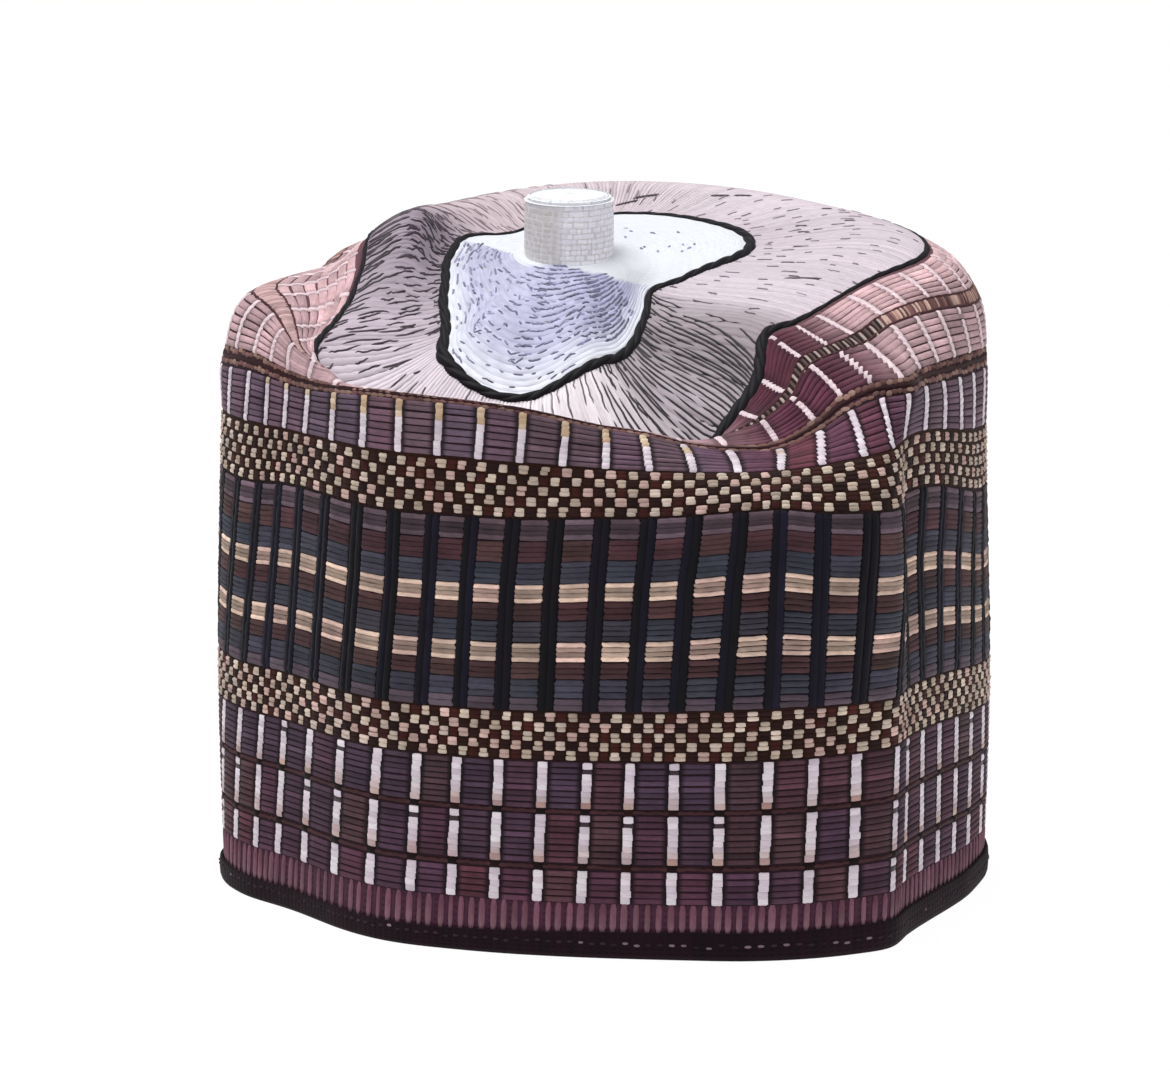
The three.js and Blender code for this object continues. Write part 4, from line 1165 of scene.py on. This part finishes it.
# Twisted cords in the two seams, thicker where the cloth bunches them at the front
cords = {
    "edge": {"ring": "edge", "node": "crown_edge_cord", "thick": sizes["edgeCord"],
             "rows": rows("turn swell", (20, 0.62), (90, 0.6), (150, 0.58), (190, 0.62), (206, 0.85),
                          (216, 0.52), (260, 0.7), (284, 1.2), (295, 1.45), (303, 1.4), (308, 1),
                          (314, 0.7), (345, 0.66))},
    "centre": {"ring": "white", "node": "centre_edge_cord", "thick": sizes["centreCord"],
               "rows": rows("turn swell", (10, 0.95), (40, 0.7), (110, 0.55), (150, 0.62), (172, 0.85),
                            (190, 0.95), (212, 1.1), (228, 1.4), (240, 1.15), (262, 0.98), (282, 1.1),
                            (296, 1.1), (306, 0.85), (312, 0.75), (322, 0.8), (345, 1.1))},
    "strands": 3, "twistEvery": 5.5, "steps": 700, "sides": 6,
    "sunk": 0.12, "layRadius": 0.17, "strandRadius": 0.35,  # shares of the cord's thickness
}


def makeCord(name, cord):
    run = clothRun[cord["ring"]]
    turn = np.linspace(0, 360, cords["steps"], endpoint=False)
    line, normal = clothPoint(turn, run), clothNormal(turn, run)
    along = unit(np.roll(line, -1, 0) - np.roll(line, 1, 0))
    across = unit(np.cross(along, normal))
    thick = cord["thick"] * closedCurve(cord["rows"], "swell", turn)
    middle = line - normal * cords["sunk"] * cord["thick"]
    travel = np.concatenate([[0], np.cumsum(np.linalg.norm(np.roll(middle, -1, 0) - middle, axis=1))])
    twists = round(travel[-1] / cords["twistEvery"] / cords["strands"]) * cords["strands"]
    phase = 2 * np.pi * twists / cords["strands"] * travel[:-1] / travel[-1]
    around = np.linspace(0, 2 * np.pi, cords["sides"], endpoint=False)
    points, faces = [], []
    for k in range(cords["strands"]):
        angle = phase + 2 * np.pi * k / cords["strands"]
        lay = (cords["layRadius"] * thick)[:, None]
        own = middle + across * np.cos(angle)[:, None] * lay + normal * np.sin(angle)[:, None] * lay
        body = own[:, None] + (cords["strandRadius"] * thick)[:, None, None] * (
            across[:, None] * np.cos(around)[:, None] + normal[:, None] * np.sin(around)[:, None])
        size = len(turn) * cords["sides"]
        index = np.arange(size).reshape(len(turn), cords["sides"]) + k * size
        ahead = np.roll(index, -1, 0)
        quads = np.stack([index, ahead, np.roll(ahead, -1, 1), np.roll(index, -1, 1)], -1)
        faces += quads.reshape(-1, 4).tolist()
        points.append(body.reshape(-1, 3))
    piece = makePiece(name, np.concatenate(points), faces, "cord")
    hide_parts(cord["node"])


makeCord("edgeCord", cords["edge"])
makeCord("centreCord", cords["centre"])
print("cords ready")

# Knob: a small core covered in level rounds of short stitches, greyer on its left side;
# in its outline, share is of the knob's height and radius of its largest radius
knob = {
    "outline": rows("share radius", (-0.3, 1), (0.55, 1), (0.78, 0.985), (0.9, 0.945), (0.965, 0.86),
                    (0.99, 0.7), (0.998, 0.4), (1, 0.02)),
    "first": -0.3, "steps": 72, "sideLevels": 12, "topLevels": (0.94, 0.965, 0.985, 0.993, 0.998, 1),
    "coreIn": 0.3, "coreDown": 0.15, "topFrom": 0.93,
    "left": "#cbc7c6", "right": "#f4f3ff", "top": "#f0f2f6", "shade": "#dad7dc",
}
knobStitches = {
    "rows": 14, "perRow": 54, "width": 1.512, "rise": 0.065, "inset": -0.25, "turnOn": 0.01, "uneven": 0.02,
    "paleFrom": 0.78, "paleOver": 0.15,
}
knobRounds = {"count": 14, "steps": 60, "inner": 0.06, "width": 1.2, "rise": 0.08}


def knobPoint(angle, share, out=0.0):
    radius = np.interp(share, listOf(knob["outline"], "share"), listOf(knob["outline"], "radius"))
    radius = sizes["knobDiameter"] / 2 * radius + out
    foot = clothPoint(0, clothRun["top"])
    return foot + np.stack(np.broadcast_arrays(radius * np.cos(angle), radius * np.sin(angle),
                                               share * sizes["knobHeight"]), -1)


def makeKnobCore():
    angle = np.linspace(0, 2 * np.pi, knob["steps"], endpoint=False)
    share = np.append(np.linspace(knob["first"], 0.9, knob["sideLevels"]), knob["topLevels"])
    core = knobPoint(angle, share[:, None], -knob["coreIn"]) - np.array([0, 0, knob["coreDown"]])
    faces = gridFaces(len(share), len(angle))
    faces.append([(len(share) - 1) * len(angle) + k for k in range(len(angle))])
    isTop = (share > knob["topFrom"])[:, None, None]
    colours = np.where(isTop, hexLinear(knob["top"]), hexLinear(knob["shade"])) + 0 * core
    piece = makePiece("knobCore", core.reshape(-1, 3), faces, "satin", colours.reshape(-1, 3),
                      core.reshape(-1, 3)[:, :2])
    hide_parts("knob")


def makeKnobStitches(rng):
    count = knobStitches["perRow"]
    middle = np.arange(count) * 2 * np.pi / count
    middle = middle + knobStitches["turnOn"] * np.arange(knobStitches["rows"])[:, None]
    middle = middle + knobStitches["uneven"] * rng.standard_normal(middle.shape)
    a = middle.reshape(-1, 1) + np.linspace(-0.5, 0.5, 5) * 2 * np.pi / count
    levels = np.repeat(np.linspace(knob["first"], knob["topFrom"], knobStitches["rows"]), count)[:, None]
    s = levels + 0.004 * rng.standard_normal((len(a), 1)) + 0 * a
    out = np.stack([np.cos(a), np.sin(a), 0.35 * np.clip((s - 0.8) / 0.13, 0, 1)], -1)
    side = np.clip((np.cos(a[:, 2]) + 0.35) / 0.3, 0, 1)[:, None]
    tint = hexLinear(knob["left"]) * (1 - side) + hexLinear(knob["right"]) * side
    upper = np.clip((s[:, :1] - knobStitches["paleFrom"]) / knobStitches["paleOver"], 0, 1)
    tint = (tint * (1 - upper) + hexLinear(knob["top"]) * upper) * vary(rng, len(a), 0.03)
    layStrands("knobStitches", knobPoint(a, s, knobStitches["inset"]), unit(out), knobStitches["width"],
               knobStitches["rise"], tint.clip(0.01, 1), "satin", sink=0.1, taper=0.7)


def makeKnobRounds(rng):
    turn = np.linspace(0, 2 * np.pi, knobRounds["steps"])
    largest = sizes["knobDiameter"] / 2
    radius = np.linspace(knob["topFrom"], knobRounds["inner"], knobRounds["count"])[:, None] * largest
    inward = knob["outline"][::-1]
    share = np.interp(radius / largest, listOf(inward, "radius"), listOf(inward, "share"))
    level = sizes["knobHeight"] * share
    spots = np.broadcast_arrays(radius * np.cos(turn), radius * np.sin(turn), level - knob["coreDown"])
    points = clothPoint(0, clothRun["top"]) + np.stack(spots, -1)
    up = np.broadcast_to(np.array([0, 0, 1.0]), points.shape)
    layStrands("knobTopRounds", points, up, knobRounds["width"], knobRounds["rise"],
               dye(rng, [knob["top"]], len(radius), 0.02), "satin", sink=0.1, taper=1)


makeKnobCore()
knobRandom = np.random.default_rng(31)
makeKnobStitches(knobRandom)
makeKnobRounds(knobRandom)
print("knob ready")

# Floor that glows like a lit white backdrop, and soft studio light
studio = {
    "floor": "#3c3c3c", "roughness": 0.9, "specular": 0.1, "glow": 0.97, "floorSize": 12.0, "world": 0.42,
    "lamps": rows("name spot aim size power",
                  ("overhead", (-0.6, 0.1, 2.2), (0, 0, 0.1), 1.6, 42),
                  ("front", (-1.2, -2.2, 1.5), (0, 0, 0.12), 1.6, 12),
                  ("right", (2.4, -0.3, 1.1), (0, 0, 0.12), 1.4, 10)),
}


def makeFloor():
    material, tree = newMaterial("glowingBackdrop")
    surface = addNode(tree, "ShaderNodeBsdfPrincipled", {
        "Base Color": (*hexLinear(studio["floor"]), 1), "Roughness": studio["roughness"],
        "Specular IOR Level": studio["specular"], "Emission Color": (1, 1, 1, 1),
        "Emission Strength": studio["glow"]})
    addNode(tree, "ShaderNodeOutputMaterial", {}, {"Surface": surface.outputs["BSDF"]})
    half = studio["floorSize"] / 2
    mesh = bpy.data.meshes.new("floor")
    corners = [(-half, -half, 0), (half, -half, 0), (half, half, 0), (-half, half, 0)]
    mesh.from_pydata(corners, [], [(0, 1, 2, 3)])
    mesh.materials.append(material)
    floor = bpy.data.objects.new("floor", mesh)
    bpy.context.scene.collection.objects.link(floor)


def makeLights():
    for lamp in studio["lamps"]:
        light = bpy.data.lights.new(lamp["name"], "AREA")
        light.shape = "DISK"
        light.size = lamp["size"]
        light.energy = lamp["power"]
        holder = bpy.data.objects.new(lamp["name"], light)
        holder.location = lamp["spot"]
        toward = Vector(lamp["aim"]) - Vector(lamp["spot"])
        holder.rotation_euler = toward.to_track_quat("-Z", "Y").to_euler()
        bpy.context.scene.collection.objects.link(holder)
    world = bpy.data.worlds.new("studioAir")
    world.use_nodes = True
    background = world.node_tree.nodes["Background"]
    background.inputs["Color"].default_value = (1, 1, 1, 1)
    background.inputs["Strength"].default_value = studio["world"]
    bpy.context.scene.world = world
    bpy.context.scene.view_settings.view_transform = "Standard"


makeFloor()
makeLights()
print("studio ready")
